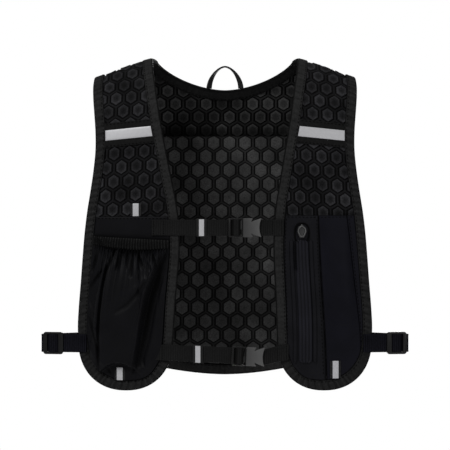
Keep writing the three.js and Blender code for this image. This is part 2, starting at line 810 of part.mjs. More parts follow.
// Ladder half of a chest buckle, from its first bar on the left to the prongs in the socket
function buckleLadder() {
  const half = buckleHeight / 2;
  const window = chestWebbing / 2 + clearance;
  const reach = half - socketWall - clearance;
  const inner = reach - prongWidth;
  const guide = guideWidth / 2;
  const guideEnd = prongLength - guideShort;
  const corner = -ladderLength + ladderCorner / 2;
  const outline = [
    [corner, -half], [0, -half], [0, -reach], [prongLength, -reach], [prongLength, -inner], [prongRoot, -inner],
    [prongRoot, -guide], [guideEnd, -guide], [guideEnd, guide], [prongRoot, guide],
    [prongRoot, inner], [prongLength, inner], [prongLength, reach], [0, reach], [0, half], [corner, half],
    [-ladderLength, half - ladderCorner], [-ladderLength, ladderCorner - half],
  ];
  const first = -ladderLength + ladderBar;
  const second = first + ladderWindow + ladderCross;
  const holes = [
    rectangle(first, first + ladderWindow, -window, window),
    rectangle(second, second + ladderExit, -window, window),
  ];
  return pierced(outline, holes, ladderThickness);
}

function buckleSocket() {
  const half = buckleHeight / 2;
  const dent = steps(4).slice(1, -1).map((share) => {
    const y = half - 2 * half * share;
    return [socketLength - socketHollow * (1 - (y / half) ** 2), y];
  });
  const flare = half - notchFlare;
  const outline = [
    [clearance, half], [notchStart, half], [notchApex, socketWaist], [notchEnd, flare], [socketLength, half],
    ...dent,
    [socketLength, -half], [notchEnd, -flare], [notchApex, -socketWaist], [notchStart, -half], [clearance, -half],
  ].reverse();
  const body = solidOf(flat(outline, socketThickness));
  const reach = half - socketWall;
  const cavity = flat(rectangle(0, prongLength + prongRoom, -reach, reach), ladderThickness + 2 * clearance);
  const slot = chestWebbing / 2 + clearance;
  const mouthStart = socketLength - socketHollow - socketMouth;
  const mouthEnd = socketLength + clearance;
  const mouth = flat(rectangle(mouthStart, mouthEnd, -slot, slot), webbingThickness + 2 * clearance);
  return geometryOf(body.subtract(solidOf(cavity)).subtract(solidOf(mouth)));
}

// Webbing in the plane of its length and thickness: points of [along, outwards] thickened evenly
const mitreLimit = 1.6;

function thickened(points, thickness) {
  return points.map(([x, y], i) => {
    const [bx, by] = points[Math.max(i - 1, 0)];
    const [ax, ay] = points[Math.min(i + 1, points.length - 1)];
    const before = i ? new THREE.Vector2(x - bx, y - by).normalize() : null;
    const after = i < points.length - 1 ? new THREE.Vector2(ax - x, ay - y).normalize() : before;
    const from = before ?? after;
    const sum = from.clone().add(after).normalize();
    const grow = Math.min(1 / sum.dot(from), mitreLimit);
    const nx = -sum.y * grow * (thickness / 2);
    const ny = sum.x * grow * (thickness / 2);
    return { near: [x - nx, y - ny], far: [x + nx, y + ny] };
  });
}

function strapLine(strap) {
  const level = ridgeHeight - strap.drop;
  const slope = strap.sag / (strap.junction - strap.start);
  const socketEnd = strap.junction + socketLength;
  return (x) => {
    if (x <= socketEnd) return level - slope * (x - strap.start);
    return level - (slope * (socketEnd - strap.start) * (strap.end - x)) / (strap.end - socketEnd);
  };
}

const strapRise = ladderThickness / 2 + clearance + webbingThickness / 2;

function buckleLift(seat) {
  return seat + webbingThickness / 2 + strapRise;
}

function buckleFrame(strap, seat) {
  const slope = strap.sag / (strap.junction - strap.start);
  const level = strapLine(strap)(strap.junction);
  return frameAt(strap.junction, level, buckleLift(seat), -Math.atan(slope));
}

// Points of webbing: on the surface where it lies on the vest, in the buckle's own plane near the buckle
function webbing(points, strap, seat) {
  const line = strapLine(strap);
  const frame = buckleFrame(strap, seat);
  const middle = buckleLift(seat);
  const start = strap.junction - ladderLength - planeEnd;
  const end = strap.junction + socketLength + planeEnd;
  const place = ([x, lift], up) => {
    const inBuckle = x > start && x < end;
    if (inBuckle) return new THREE.Vector3(x - strap.junction, up, lift - middle).applyMatrix4(frame);
    return lifted(x, frontAt(x, line(x) + up).q, lift);
  };
  const half = chestWebbing / 2;
  const rings = thickened(points, webbingThickness).map(({ near, far }) => [
    place(near, -half), place(near, half), place(far, half), place(far, -half),
  ]);
  return loft(rings, false);
}

// Bottle side's webbing: behind the first bar, over the middle bar, back behind, and to its tail
function ladderedStrap(strap, seat) {
  const run = seat + webbingThickness / 2;
  const over = run + 2 * strapRise;
  const tail = run - webbingThickness - clearance;
  const left = strap.junction - ladderLength;
  const cross = left + ladderBar + ladderWindow;
  const fall = cross + ladderCross + bendRun;
  const edge = -openingHalf;
  const lie = steps(lieSteps).map((share) => [strap.start + (edge - strap.start) * share, run]);
  const bridge = steps(3).slice(1).map((share) => [edge + (left - flatEnd - edge) * share, run]);
  const tailEnd = strap.keeper - keeperWidth / 2 - tailPast;
  return [
    ...lie, ...bridge,
    [left + ladderBar + bendLead, run], [cross - bendLead, over], [fall, over], [fall + bendRun, tail + bendRise],
    [fall - bendBack, tail], [left - flatEnd, tail], [strap.keeper, tail], [tailEnd, tail],
  ];
}

function socketStrap(strap, seat, endSeat) {
  const start = strap.junction + socketLength - socketHollow - socketMouth + clearance;
  const middle = buckleLift(seat);
  const run = endSeat + webbingThickness / 2;
  const from = start + socketHollow + socketLead;
  const down = from + socketFall;
  const lie = steps(3).map((share) => [down + (strap.end - down) * share, run]);
  return [[start, middle], [from, middle], ...lie];
}

// Keeper: a band round both layers of webbing
function keeper(strap, seat) {
  const line = strapLine(strap);
  const low = seat - 2 * clearance - webbingThickness;
  const high = seat + webbingThickness + clearance;
  const half = chestWebbing / 2 + clearance;
  const corners = [[-half, low, -1, -1], [half, low, 1, -1], [half, high, 1, 1], [-half, high, -1, 1]];
  const rings = corners.map(([up, lift, sideways, outwards]) =>
    [[-1, 0], [1, 0], [1, 1], [-1, 1]].map(([end, wall]) => {
      const x = strap.keeper + (end * keeperWidth) / 2;
      const z = line(x) + up + sideways * wall * tapeThickness;
      return lifted(x, frontAt(x, z).q, lift + outwards * wall * tapeThickness);
    }));
  return loft(rings, true);
}

function keeperStrip(strap, seat) {
  const line = strapLine(strap);
  const half = chestWebbing / 2 + clearance;
  const grid = [half, -half].map((up) =>
    [-0.5, 0.5].map((end) => {
      const x = strap.keeper + end * keeperStripWidth;
      return frontAt(x, line(x) + up);
    }));
  const low = seat + webbingThickness + 2 * clearance + tapeThickness;
  return sheet(grid, low, low + stripThickness);
}

// Side strap: seen from above, from the front's edge through the lock, round its turn and to the back
function sideFrame(side) {
  const z = ridgeHeight - sideDrop;
  const edge = crossing(frontOutline("opening").reverse(), () => z).x;
  const seat = meshThickness / 2 + tapeThickness + 3 * clearance + webbingThickness / 2;
  const onFront = (x) => lifted(x, frontAt(x, z).q, seat);
  const first = onFront(edge - bindingWidth + seamPast);
  const second = onFront(edge - bindingWidth / 2);
  const last = onFront(edge);
  const out = new THREE.Vector3(last.x - second.x, last.y - second.y, 0).normalize();
  return { z, edge, seat, first, second, last, out, side };
}

function lockPath(frame) {
  const { first, second, last, out } = frame;
  const off = new THREE.Vector3(out.y, -out.x, 0);
  const at = (along, outwards) => {
    const point = last.clone().addScaledVector(out, along).addScaledVector(off, outwards);
    return [point.x, point.y];
  };
  const rise = lockThickness / 2 + clearance + webbingThickness / 2;
  const start = (lockReach - last.x) / out.x;
  const cross = start + lockBars.inner + lockBars.rise;
  const down = cross + lockBars.middle + bendRun;
  const end = start + lockLength + turnReach;
  const turn = steps(turnSteps).map((share) => {
    const angle = Math.PI * (0.5 - share);
    return at(end + turnRadius * (Math.cos(angle) - 1), turnRadius * (Math.sin(angle) - 1));
  });
  const onBack = (x) => {
    const point = lifted(x, backAt(x, frame.z).q, frame.seat + 2 * clearance);
    return [point.x, point.y];
  };
  const backEdge = crossing(backOutline(), () => frame.z).x;
  return [
    [first.x, first.y], [second.x, second.y], [last.x, last.y],
    at(start + lockBars.inner + bendLead, 0), at(cross - bendLead, 2 * rise),
    at(down, 2 * rise), at(down + lockFall, 0),
    ...turn,
    onBack(backEdge + backEase), onBack(backEdge - bindingWidth / 2), onBack(backEdge - bindingWidth + seamPast),
  ];
}

function sideStrap(frame) {
  const sides = thickened(lockPath(frame), webbingThickness);
  const rings = sides.map(({ near, far }) =>
    [[near, -1], [near, 1], [far, 1], [far, -1]].map(([[x, y], up]) =>
      new THREE.Vector3(frame.side * x, y, frame.z + (up * sideWebbing) / 2)));
  return loft(rings, false);
}

function ladderLock(frame) {
  const window = sideWebbing / 2 + clearance;
  const start = -lockLength / 2;
  const { inner, rise, middle, fall } = lockBars;
  const holes = [
    rectangle(start + inner, start + inner + rise, -window, window),
    rectangle(start + inner + rise + middle, start + inner + rise + middle + fall, -window, window),
  ];
  const geometry = pierced(roundedRectangle(lockLength, lockHeight, lockCorner), holes, lockThickness);
  const off = new THREE.Vector3(frame.out.y, -frame.out.x, 0);
  const up = new THREE.Vector3(0, 0, 1);
  const lift = lockThickness / 2 + clearance + webbingThickness / 2;
  const along = (lockReach - frame.last.x) / frame.out.x + lockLength / 2;
  const middlePoint = frame.last.clone().addScaledVector(frame.out, along).addScaledVector(off, lift);
  middlePoint.z = frame.z;
  const basis = new THREE.Matrix4().makeBasis(frame.out, up, frame.out.clone().cross(up));
  geometry.applyMatrix4(basis.setPosition(middlePoint));
  return frame.side < 0 ? mirrored(geometry) : geometry;
}

function mirrored(geometry) {
  const positions = geometry.toNonIndexed().attributes.position;
  const points = Array.from({ length: positions.count }, (_, i) =>
    new THREE.Vector3(-positions.getX(i), positions.getY(i), positions.getZ(i)));
  const faces = Array.from({ length: positions.count / 3 }, (_, i) => [3 * i, 3 * i + 1, 3 * i + 2]);
  return closed(points, faces);
}

// Hang loop over the neckline
function hangLoop() {
  const footX = loopHalf + loopThickness;
  const foot = between(neckline(), "x", footX, "q");
  const edge = meshThickness / 2 + clearance + tapeThickness;
  const base = Math.max(lifted(footX, foot, -edge).z, lifted(footX, foot, edge).z) + clearance;
  const { y } = lifted(footX, foot, 0);
  const arch = steps(loopSteps).map((share) => {
    const turn = Math.PI * share;
    return [-loopHalf * power(Math.cos(turn), loopPower), base + loopHeight * power(Math.sin(turn), loopPower)];
  });
  const rings = thickened(arch, loopThickness).map(({ near, far }) =>
    [[near, -1], [near, 1], [far, 1], [far, -1]].map(([[x, z], way]) =>
      new THREE.Vector3(x, y + (way * loopTape) / 2, Math.max(z, base))));
  return loft(rings, false);
}

// Small tab with a reflective strip, upright on the cloth
function tab(x, drop, low) {
  const grid = (width) => [0.5, 0, -0.5].map((up) => [-0.5, 0.5].map((end) =>
    frontAt(x + end * width, ridgeHeight - drop + up * tabLength)));
  const top = low + tapeThickness + clearance;
  return {
    tape: sheet(grid(tabWidth), low, low + tapeThickness),
    strip: sheet(grid(tabStripWidth), top, top + stripThickness),
  };
}

// Assembly
const vest = new THREE.Group();
const finish = {
  mesh: { color: colours.mesh, roughness: 0.95, metalness: 0 },
  binding: { color: colours.binding, roughness: 0.85, metalness: 0 },
  cloth: { color: colours.cloth, roughness: 0.85, metalness: 0 },
  zipCloth: { color: colours.zipCloth, roughness: 0.8, metalness: 0 },
  webbing: { color: colours.webbing, roughness: 0.8, metalness: 0 },
  plastic: { color: colours.plastic, roughness: 0.5, metalness: 0 },
  strip: { color: colours.strip, roughness: 0.4, metalness: 0.3 },
};

function add(name, geometry, kind) {
  const mesh = new THREE.Mesh(geometry, new THREE.MeshStandardMaterial(finish[kind]));
  mesh.name = name;
  vest.add(mesh);
}

add("back_panel", backPanel(), "mesh");
add("bladder_sleeve", bladderSleeve(), "mesh");
add("neck_binding", binding(neckline(), 1, -1, 6), "binding");
add("back_binding", binding(backOutline(), 1, -1), "binding");
add("hang_loop", hangLoop(), "binding");

for (const [name, opening, side] of [["bottle_side", "opening", -1], ["zip_side", "zipOpening", 1]]) {
  const middle = (x) => ridgeHeight - bandDrop + bandSlope * ((armHalf + neckHalf) / 2 - Math.abs(x));
  const strip = seatLift + tapeThickness + clearance;
  const band = bandOnFront(opening, middle, bandHeight, clearance);
  const reflective = bandOnFront(opening, middle, bandStripHeight, 2 * clearance);
  add(`front_panel_${name}`, frontPanel(opening, side), "mesh");
  add(`front_binding_${name}`, binding(frontOutline(opening), side, 1), "binding");
  add(`chest_band_${name}`, sheet(band, seatLift, seatLift + tapeThickness, side), "webbing");
  add(`chest_strip_${name}`, sheet(reflective, strip, strip + stripThickness, side), "strip");
}

const backingArea = lowerFront("opening", () => ridgeHeight - backingDrop);
const backing = patch(backingArea, steps(downSteps), steps(lobeSteps), byLength);
add("bottle_pocket_backing", sheet(backing, seatLift, seatLift + pocketCloth, -1), "cloth");
add("bottle_pocket", bottlePocket(), "cloth");
add("pocket_elastic", pocketElastic(), "cloth");

for (const [name, piece] of Object.entries(zipPieces)) add(name, zipPiece(piece), piece.kind);
add("zipper_tape", zipperTape(), "zipCloth");

const sliderLift = seatLift + pocketCloth + 2 * clearance + sliderHeight / 2;
const sliderPlace = onZip((zipperStart + zipperEnd) / 2, ridgeHeight - sliderDrop);
const sliderFrame = (lift, drop) => frameAt(sliderPlace.x, ridgeHeight - drop, lift);
const slider = flat(roundedRectangle(sliderWidth, sliderLength, sliderCorner), sliderHeight);
add("zipper_slider", slider.applyMatrix4(sliderFrame(sliderLift, sliderDrop)), "plastic");
const pull = flat(pullOutline.map(([x, y]) => [x * pullWidth, y * pullLength]), webbingThickness);
const pullLift = sliderLift + sliderHeight / 2 + clearance + webbingThickness / 2;
add("zipper_pull", pull.applyMatrix4(sliderFrame(pullLift, sliderDrop)), "plastic");

const seats = {
  upper: { strap: pouchLift, end: seatLift + tapeThickness + clearance },
  lower: { strap: pouchLift + pocketCloth + clearance, end: seatLift + pocketCloth + 2 * clearance },
};
for (const [name, strap] of Object.entries(straps)) {
  const { strap: seat, end } = seats[name];
  const frame = buckleFrame(strap, seat);
  add(`${name}_strap_bottle_side`, webbing(ladderedStrap(strap, seat), strap, seat), "webbing");
  add(`${name}_strap_zip_side`, webbing(socketStrap(strap, seat, end), strap, seat), "webbing");
  add(`${name}_buckle_ladder`, buckleLadder().applyMatrix4(frame), "plastic");
  add(`${name}_buckle_socket`, buckleSocket().applyMatrix4(frame), "plastic");
  add(`${name}_keeper`, keeper(strap, seat), "webbing");
  add(`${name}_keeper_strip`, keeperStrip(strap, seat), "strip");
}

for (const [name, side] of [["bottle_side", -1], ["zip_side", 1]]) {
  const frame = sideFrame(side);
  add(`side_strap_${name}`, sideStrap(frame), "webbing");
  add(`side_lock_${name}`, ladderLock(frame), "plastic");
}

const tabBodies = {
  bottle_top: tab(-tabs.top.x, tabs.top.drop, seatLift),
  bottle_bottom: tab(-tabs.bottle.x, tabs.bottle.drop, pouchLift + pocketCloth + clearance),
  zip_bottom: tab(tabs.zip.x, tabs.zip.drop, seatLift + pocketCloth + clearance),
};
for (const [name, { tape, strip }] of Object.entries(tabBodies)) {
  add(`tab_${name}`, tape, "webbing");
  add(`tab_strip_${name}`, strip, "strip");
}

export default vest;
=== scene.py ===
# Running hydration vest in its worn shape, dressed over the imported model.
# Sizes in the dictionaries are millimetres; the studio is in metres.
import bmesh
import bpy
import numpy as np
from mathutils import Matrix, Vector


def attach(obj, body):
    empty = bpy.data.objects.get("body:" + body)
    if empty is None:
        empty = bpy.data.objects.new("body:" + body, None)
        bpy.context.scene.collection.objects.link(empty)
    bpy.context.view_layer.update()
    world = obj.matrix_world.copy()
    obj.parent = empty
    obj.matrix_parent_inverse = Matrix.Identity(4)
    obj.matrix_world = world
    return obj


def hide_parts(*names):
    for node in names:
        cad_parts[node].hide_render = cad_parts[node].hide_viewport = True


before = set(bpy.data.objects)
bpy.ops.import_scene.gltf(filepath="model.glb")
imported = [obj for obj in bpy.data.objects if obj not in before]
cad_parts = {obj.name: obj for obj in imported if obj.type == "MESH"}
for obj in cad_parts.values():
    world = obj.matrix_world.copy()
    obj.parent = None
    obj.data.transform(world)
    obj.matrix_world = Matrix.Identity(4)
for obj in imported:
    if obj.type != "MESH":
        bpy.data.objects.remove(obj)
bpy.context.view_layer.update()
print("frame loaded with", len(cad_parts), "nodes")

photoView = {"distance": 5000, "height": -199.4, "fieldWidth": 571.5, "sensor": 36, "clipEnd": 40}


def makeCamera(view):
    # looks level along +Y; the lens is the sensor times the distance over the width seen there
    data = bpy.data.cameras.new("photoCamera")
    data.sensor_width = view["sensor"]
    data.lens = view["sensor"] * view["distance"] / view["fieldWidth"]
    data.clip_end = view["clipEnd"]
    camera = bpy.data.objects.new("photoCamera", data)
    camera.location = (0, -view["distance"] / 1000, view["height"] / 1000)
    camera.rotation_euler = (np.pi / 2, 0, 0)
    bpy.context.scene.collection.objects.link(camera)
    bpy.context.scene.camera = camera


makeCamera(photoView)

studio = {
    "keyPlace": (-1.5, -2.6, 1.9), "keySize": 1.1, "keyPower": 62,
    "fillPlace": (2.2, -2.4, 0.3), "fillSize": 2.0, "fillPower": 14,
    "topPlace": (0.2, -0.2, 2.4), "topSize": 1.6, "topPower": 11,
    "backPlace": (0.5, 3.0, -0.5), "backSize": 2.0, "backPower": 140,
    "ambient": 0.27, "floorHeight": -1.3, "aim": (0, 0, -0.2),
    "floorHalf": 14.0, "floorGlow": 0.45,
}


def areaLight(name, place, size, power):
    # a soft disk turned towards the middle of the vest
    data = bpy.data.lights.new(name, "AREA")
    data.shape = "DISK"
    data.size = size
    data.energy = power
    light = bpy.data.objects.new(name, data)
    light.location = place
    aim = Vector(studio["aim"]) - Vector(place)
    light.rotation_euler = aim.to_track_quat("-Z", "Y").to_euler()
    bpy.context.scene.collection.objects.link(light)


def makeStudio(light):
    # four lights and an even glow; the backdrop looks white but lights like the glow
    for name in ("key", "fill", "top", "back"):
        areaLight(name + "Light", light[name + "Place"], light[name + "Size"], light[name + "Power"])
    world = bpy.data.worlds.new("paleStudio")
    bpy.context.scene.world = world
    world.use_nodes = True
    tree = world.node_tree
    tree.nodes.clear()
    seen = tree.nodes.new("ShaderNodeLightPath")
    ambient = tree.nodes.new("ShaderNodeBackground")
    ambient.inputs["Strength"].default_value = light["ambient"]
    paper = tree.nodes.new("ShaderNodeBackground")
    for background in (ambient, paper):
        background.inputs["Color"].default_value = (1, 1, 1, 1)
    both = tree.nodes.new("ShaderNodeMixShader")
    out = tree.nodes.new("ShaderNodeOutputWorld")
    tree.links.new(seen.outputs["Is Camera Ray"], both.inputs[0])
    tree.links.new(ambient.outputs[0], both.inputs[1])
    tree.links.new(paper.outputs[0], both.inputs[2])
    tree.links.new(both.outputs[0], out.inputs[0])
    bpy.context.scene.view_settings.view_transform = "Standard"


makeStudio(studio)
print("camera and studio ready")


# Surface maths. Points of the cloth are (x, q): x across the vest, q along the cloth from the ridge of the
# shoulders, positive down the front and negative down the back.
torso = {
    "ridgeHeight": 10.4, "ridgeFall": 24.5, "ridgeEase": 0.15, "rollDrop": 95, "rollReach": 68,
    "chestDepth": 86, "chestTaper": 0.35, "chestLevel": 0.42,
    "bladeDepth": 82, "bladeTaper": 0.4, "bladeLevel": 0.25, "half": 240,
}
cut = {
    "neckHalf": 91.3, "openingHalf": 56.7, "armHalf": 161.8, "hipHalf": 184.2,
    "frontDrop": 354.1, "lobeDrop": 63, "lobePower": 2.2, "seamBack": 18,
    "necklineDrop": 51.2, "necklinePower": 1.74,
    "backDrop": 401.8, "hemRise": 33.7, "hemPower": 1.8, "cornerRise": 12, "cornerPower": 14, "backTuck": 9,
}
layers = {
    "mesh": 3.2, "binding": 12.4, "tape": 1.0, "pocket": 1.1, "webbing": 1.5, "strip": 0.6, "clearance": 0.4,
}
seatLift = layers["mesh"] / 2 + layers["clearance"]
pouchLift = seatLift + layers["pocket"] + layers["clearance"]
bodyDrop = cut["frontDrop"] + cut["lobeDrop"]

rollTurn = np.linspace(0, np.pi / 2, 91)
rollFall = torso["rollDrop"] * (1 - np.cos(rollTurn))
rollSteps = np.hypot(np.diff(torso["rollReach"] * np.sin(rollTurn)), np.diff(rollFall))
rollLength = np.concatenate([[0], np.cumsum(rollSteps)])


def dropOf(length):
    # a quarter ellipse over the shoulder, then straight down
    past = np.maximum(length - rollLength[-1], 0)
    return np.interp(length, rollLength, rollFall) + past


def lengthOf(drop):
    # the other way round: length along the cloth from the drop
    past = np.maximum(drop - rollFall[-1], 0)
    return np.interp(drop, rollFall, rollLength) + past


def ridgeAt(x):
    # level at the neck, then falling in a straight line to the armhole, with a parabola between
    share = (np.abs(x) - cut["neckHalf"]) / (cut["armHalf"] - cut["neckHalf"])
    ease = torso["ridgeEase"]
    eased = (np.maximum(share, -ease) + ease) ** 2 / (4 * ease)
    return torso["ridgeHeight"] - torso["ridgeFall"] * np.where(share < ease, eased, share)


def heightAt(x, q):
    # the ridge's height less the drop
    return ridgeAt(x) - dropOf(np.abs(q))


def frontLength(x, z):
    # length along the cloth from the ridge down to a height
    return lengthOf(ridgeAt(x) - z)


def bodySurface(x, q):
    # depth falls off with the square of the distance from its deepest level, narrows as an ellipse
    # towards the sides, and grows with the sine of the shoulder's turn
    z = heightAt(x, q)
    level = (torso["ridgeHeight"] - z) / bodyDrop
    front = -torso["chestDepth"] * (1 - torso["chestTaper"] * (level - torso["chestLevel"]) ** 2)
    back = torso["bladeDepth"] * (1 - torso["bladeTaper"] * (level - torso["bladeLevel"]) ** 2)
    narrowing = np.sqrt(1 - (x / torso["half"]) ** 2)
    turn = np.interp(np.abs(q), rollLength, rollTurn)
    return np.stack([x + 0 * q, np.where(q > 0, front, back) * narrowing * np.sin(turn), z], -1)


def unit(vectors):
    # each vector over its own length
    return vectors / np.maximum(np.linalg.norm(vectors, axis=-1, keepdims=True), 1e-9)


def outwardAt(x, q, step=0.5):
    # across the two slopes of the surface, each taken over a step to both sides
    across = bodySurface(x + step, q) - bodySurface(x - step, q)
    along = bodySurface(x, q + step) - bodySurface(x, q - step)
    return unit(np.cross(along, across))


def onBody(x, q, lift):
    # the surface moved outward by the lift
    x, q = np.broadcast_arrays(np.asarray(x, float), np.asarray(q, float))
    return bodySurface(x, q) + outwardAt(x, q) * np.asarray(lift)[..., None]


def signedPower(value, power):
    # two over the power, with the sign kept: it makes a super-ellipse of a circle
    return np.sign(value) * np.abs(value) ** (2 / power)


def curveThrough(at, stops, values):
    # cubic pieces that pass through every stop, with slopes taken from the neighbours
    stops, values = np.asarray(stops, float), np.asarray(values, float)
    slopes = np.gradient(values, stops)
    i = np.clip(np.searchsorted(stops, at, side="right") - 1, 0, len(stops) - 2)
    run = stops[i + 1] - stops[i]
    t = (at - stops[i]) / run
    bend = t * t * (3 - 2 * t)
    return (values[i] * (1 - bend) + values[i + 1] * bend
            + run * slopes[i] * t * (1 - t) ** 2 - run * slopes[i + 1] * t * t * (1 - t))


# Outlines of the panels, on the outer edge of their binding. Rows: share of the way down, shares of the
# way from the neck's half width in to the opening's, and from the armhole's half width out to the hip's.
frontRows = {
    "along": [0, 0.05, 0.1, 0.16, 0.22, 0.28, 0.35, 0.42, 0.49, 0.56, 0.63, 0.71, 0.8, 0.89, 0.95, 1],
    "bottle": [0, 0, 0.03, 0.1, 0.19, 0.29, 0.43, 0.58, 0.74, 0.89, 0.98, 1, 0.93, 0.84, 0.8, 0.76],
    "zip": [0, 0, 0.03, 0.1, 0.19, 0.28, 0.41, 0.54, 0.67, 0.8, 0.87, 0.89, 0.85, 0.8, 0.78, 0.76],
    "side": [0.12, 0.15, 0.18, 0.15, 0.08, 0.01, 0, 0.11, 0.28, 0.47, 0.61, 0.72, 0.83, 0.95, 1, 0.98],
    "seamOpening": 0.17, "seamSide": 0.08, "steps": 110, "lobeSteps": 70,
}
backRows = {
    "along": [0.03, 0.09, 0.16, 0.22, 0.28, 0.37, 0.46, 0.56, 0.67, 0.81, 0.92, 1],
    "side": [0.6, 0.42, 0.2, 0.08, 0, 0, 0.27, 0.56, 0.86, 1, 0.95, 0.67],
    "steps": 110, "hemSteps": 120, "neckSteps": 90,
}


def edgeDown(rows, column, seamShare, start, reach):
    # the seam's point, then the rows, as x over q
    lowest = torso["ridgeHeight"] - cut["frontDrop"]
    shares = np.array([seamShare] + list(rows[column]))
    x = start + reach * shares
    length = frontLength(x[-1], lowest)
    stops = np.array([-cut["seamBack"]] + [length * share for share in rows["along"]])
    q = np.linspace(stops[0], stops[-1], rows["steps"])
    return np.stack([curveThrough(q, stops, x), q], -1)


def frontEdges(column):
    # the opening's edge, the half super-ellipse at the bottom, and the side's edge
    rows = frontRows
    inward, outward = cut["openingHalf"] - cut["neckHalf"], cut["hipHalf"] - cut["armHalf"]
    opening = edgeDown(rows, column, rows["seamOpening"], cut["neckHalf"], inward)
    side = edgeDown(rows, "side", rows["seamSide"], cut["armHalf"], outward)
    lowest = torso["ridgeHeight"] - cut["frontDrop"]
    middle, reach = (opening[-1, 0] + side[-1, 0]) / 2, (side[-1, 0] - opening[-1, 0]) / 2
    turn = np.linspace(0, np.pi, rows["lobeSteps"])[1:-1]
    x = middle - reach * signedPower(np.cos(turn), cut["lobePower"])
    z = lowest - cut["lobeDrop"] * signedPower(np.sin(turn), cut["lobePower"])
    lobe = np.stack([x, frontLength(x, z)], -1)
    return opening, lobe, side


def frontOutline(column):
    opening, lobe, side = frontEdges(column)
    return np.concatenate([opening, lobe, side[::-1]])


def backOutline():
    # down one side, along the hem as two powers of the distance from the middle, and up the other side
    seamHalf = cut["armHalf"] + (cut["hipHalf"] - cut["armHalf"]) * frontRows["seamSide"]
    narrow, wide = cut["armHalf"] - cut["backTuck"], cut["hipHalf"] - cut["backTuck"]
    hemHalf = narrow + (wide - narrow) * backRows["side"][-1]
    turn = np.linspace(0, np.pi, backRows["hemSteps"])
    x = hemHalf * np.cos(turn)
    share = np.abs(x) / hemHalf
    z = (torso["ridgeHeight"] - cut["backDrop"] + cut["hemRise"] * share ** cut["hemPower"]
         + cut["cornerRise"] * share ** cut["cornerPower"])
    hem = np.stack([x, -frontLength(x, z)], -1)
    length = -cut["seamBack"] - hem[0, 1]
    stops = np.array([0] + backRows["along"])
    halves = np.array([seamHalf] + [narrow + (wide - narrow) * share for share in backRows["side"]])
    along = np.linspace(0, 1, backRows["steps"])
    side = np.stack([curveThrough(along, stops, halves), -cut["seamBack"] - along * length], -1)
    return np.concatenate([side, hem[1:-1], side[::-1] * [-1, 1]])


def neckline():
    # a super-ellipse between the two seams
    half = cut["neckHalf"] + (cut["openingHalf"] - cut["neckHalf"]) * frontRows["seamOpening"]
    turn = np.linspace(0, np.pi, backRows["neckSteps"])
    x = -half * signedPower(np.cos(turn), cut["necklinePower"])
    drop = cut["necklineDrop"] * signedPower(np.sin(turn), cut["necklinePower"])
    return np.stack([x, -cut["seamBack"] - drop], -1)


def movedIn(line, distance):
    # each point moves to the left of the line's direction; the ends stay on the seam
    step = np.gradient(line, axis=0)
    sideways = np.stack([step[:, 1], -step[:, 0]], -1)
    sideways[[0, -1], 1] = 0
    return line + unit(sideways) * distance


def runAlong(path):
    # the length walked up to each point of a path
    return np.concatenate([[0], np.cumsum(np.linalg.norm(np.diff(path, axis=0), axis=1))])


def readAt(at, length, values):
    # straight-line readings of all columns at once
    return np.stack([np.interp(at, length, values[:, k]) for k in range(values.shape[1])], -1)


def lineAt(line, share):
    # points at shares of the line's length
    length = runAlong(line)
    return readAt(np.asarray(share) * length[-1], length, line)


def levelEdge(z):
    # an edge at one height over every x
    return lambda x: z + 0 * x


def crossingOf(line, edge):
    # first place where the line drops below an edge given as a height over x
    over = heightAt(line[:, 0], line[:, 1]) - edge(line[:, 0])
    i = np.nonzero((over[1:] <= 0) & (over[:-1] > 0))[0][0]
    share = over[i] / (over[i] - over[i + 1])
    return line[i] + (line[i + 1] - line[i]) * share, i + 1


def insideEdges(column, trim):
    # the opening's edge, the rounded end and the side's edge of a front, moved in past its binding
    steps = frontRows["steps"]
    whole = movedIn(frontOutline(column), layers["binding"] + trim)
    return whole[:steps], whole[steps - 1:-steps + 1], whole[:-steps - 1:-1]


def frontPoints(x, z):
    # (x, length along the cloth) of points given by x and height in the front view
    return np.stack(np.broadcast_arrays(x, frontLength(x, z)), -1)


def lowerFront(column, edge, trim):
    # the part of a front inside its binding, from an upper edge down to the rounded end
    left, bottom, right = insideEdges(column, trim)
    startLeft, i = crossingOf(left, edge)
    startRight, k = crossingOf(right, edge)
    x = np.linspace(startLeft[0], startRight[0], 40)
    top = frontPoints(x, edge(x))
    return {"left": np.vstack([startLeft, left[i:]]), "right": np.vstack([startRight, right[k:]]),
            "top": top, "bottom": bottom}


def patchOf(area, downs, acrosses):
    # two ruled surfaces between the four lines, added, less the flat one through their corners
    v = np.asarray(downs, float)[:, None] + 0 * np.asarray(acrosses, float)
    u = np.asarray(acrosses, float) + 0 * v
    left, right = lineAt(area["left"], v), lineAt(area["right"], v)
    top, bottom = lineAt(area["top"], u), lineAt(area["bottom"], u)
    u, v = u[..., None], v[..., None]
    corners = ((area["top"][0] * (1 - u) + area["top"][-1] * u) * (1 - v)
               + (area["bottom"][0] * (1 - u) + area["bottom"][-1] * u) * v)
    return left * (1 - u) + right * u + top * (1 - v) + bottom * v - corners


# Mesh making
def gridQuads(rows, columns):
    # four neighbours of the grid to each face
    i = np.arange(rows * columns).reshape(rows, columns)
    return np.stack([i[:-1, :-1], i[1:, :-1], i[1:, 1:], i[:-1, 1:]], -1).reshape(-1, 4)


def sixfoldVolume(points, faces):
    # sum of the corners' triple products: negative where the faces point inwards
    a, b, c = (points[faces[:, k]] for k in range(3))
    volume = np.einsum("ij,ij->", a, np.cross(b, c))
    if faces.shape[1] == 4:
        d = points[faces[:, 3]]
        volume += np.einsum("ij,ij->", a, np.cross(c, d))
    return volume


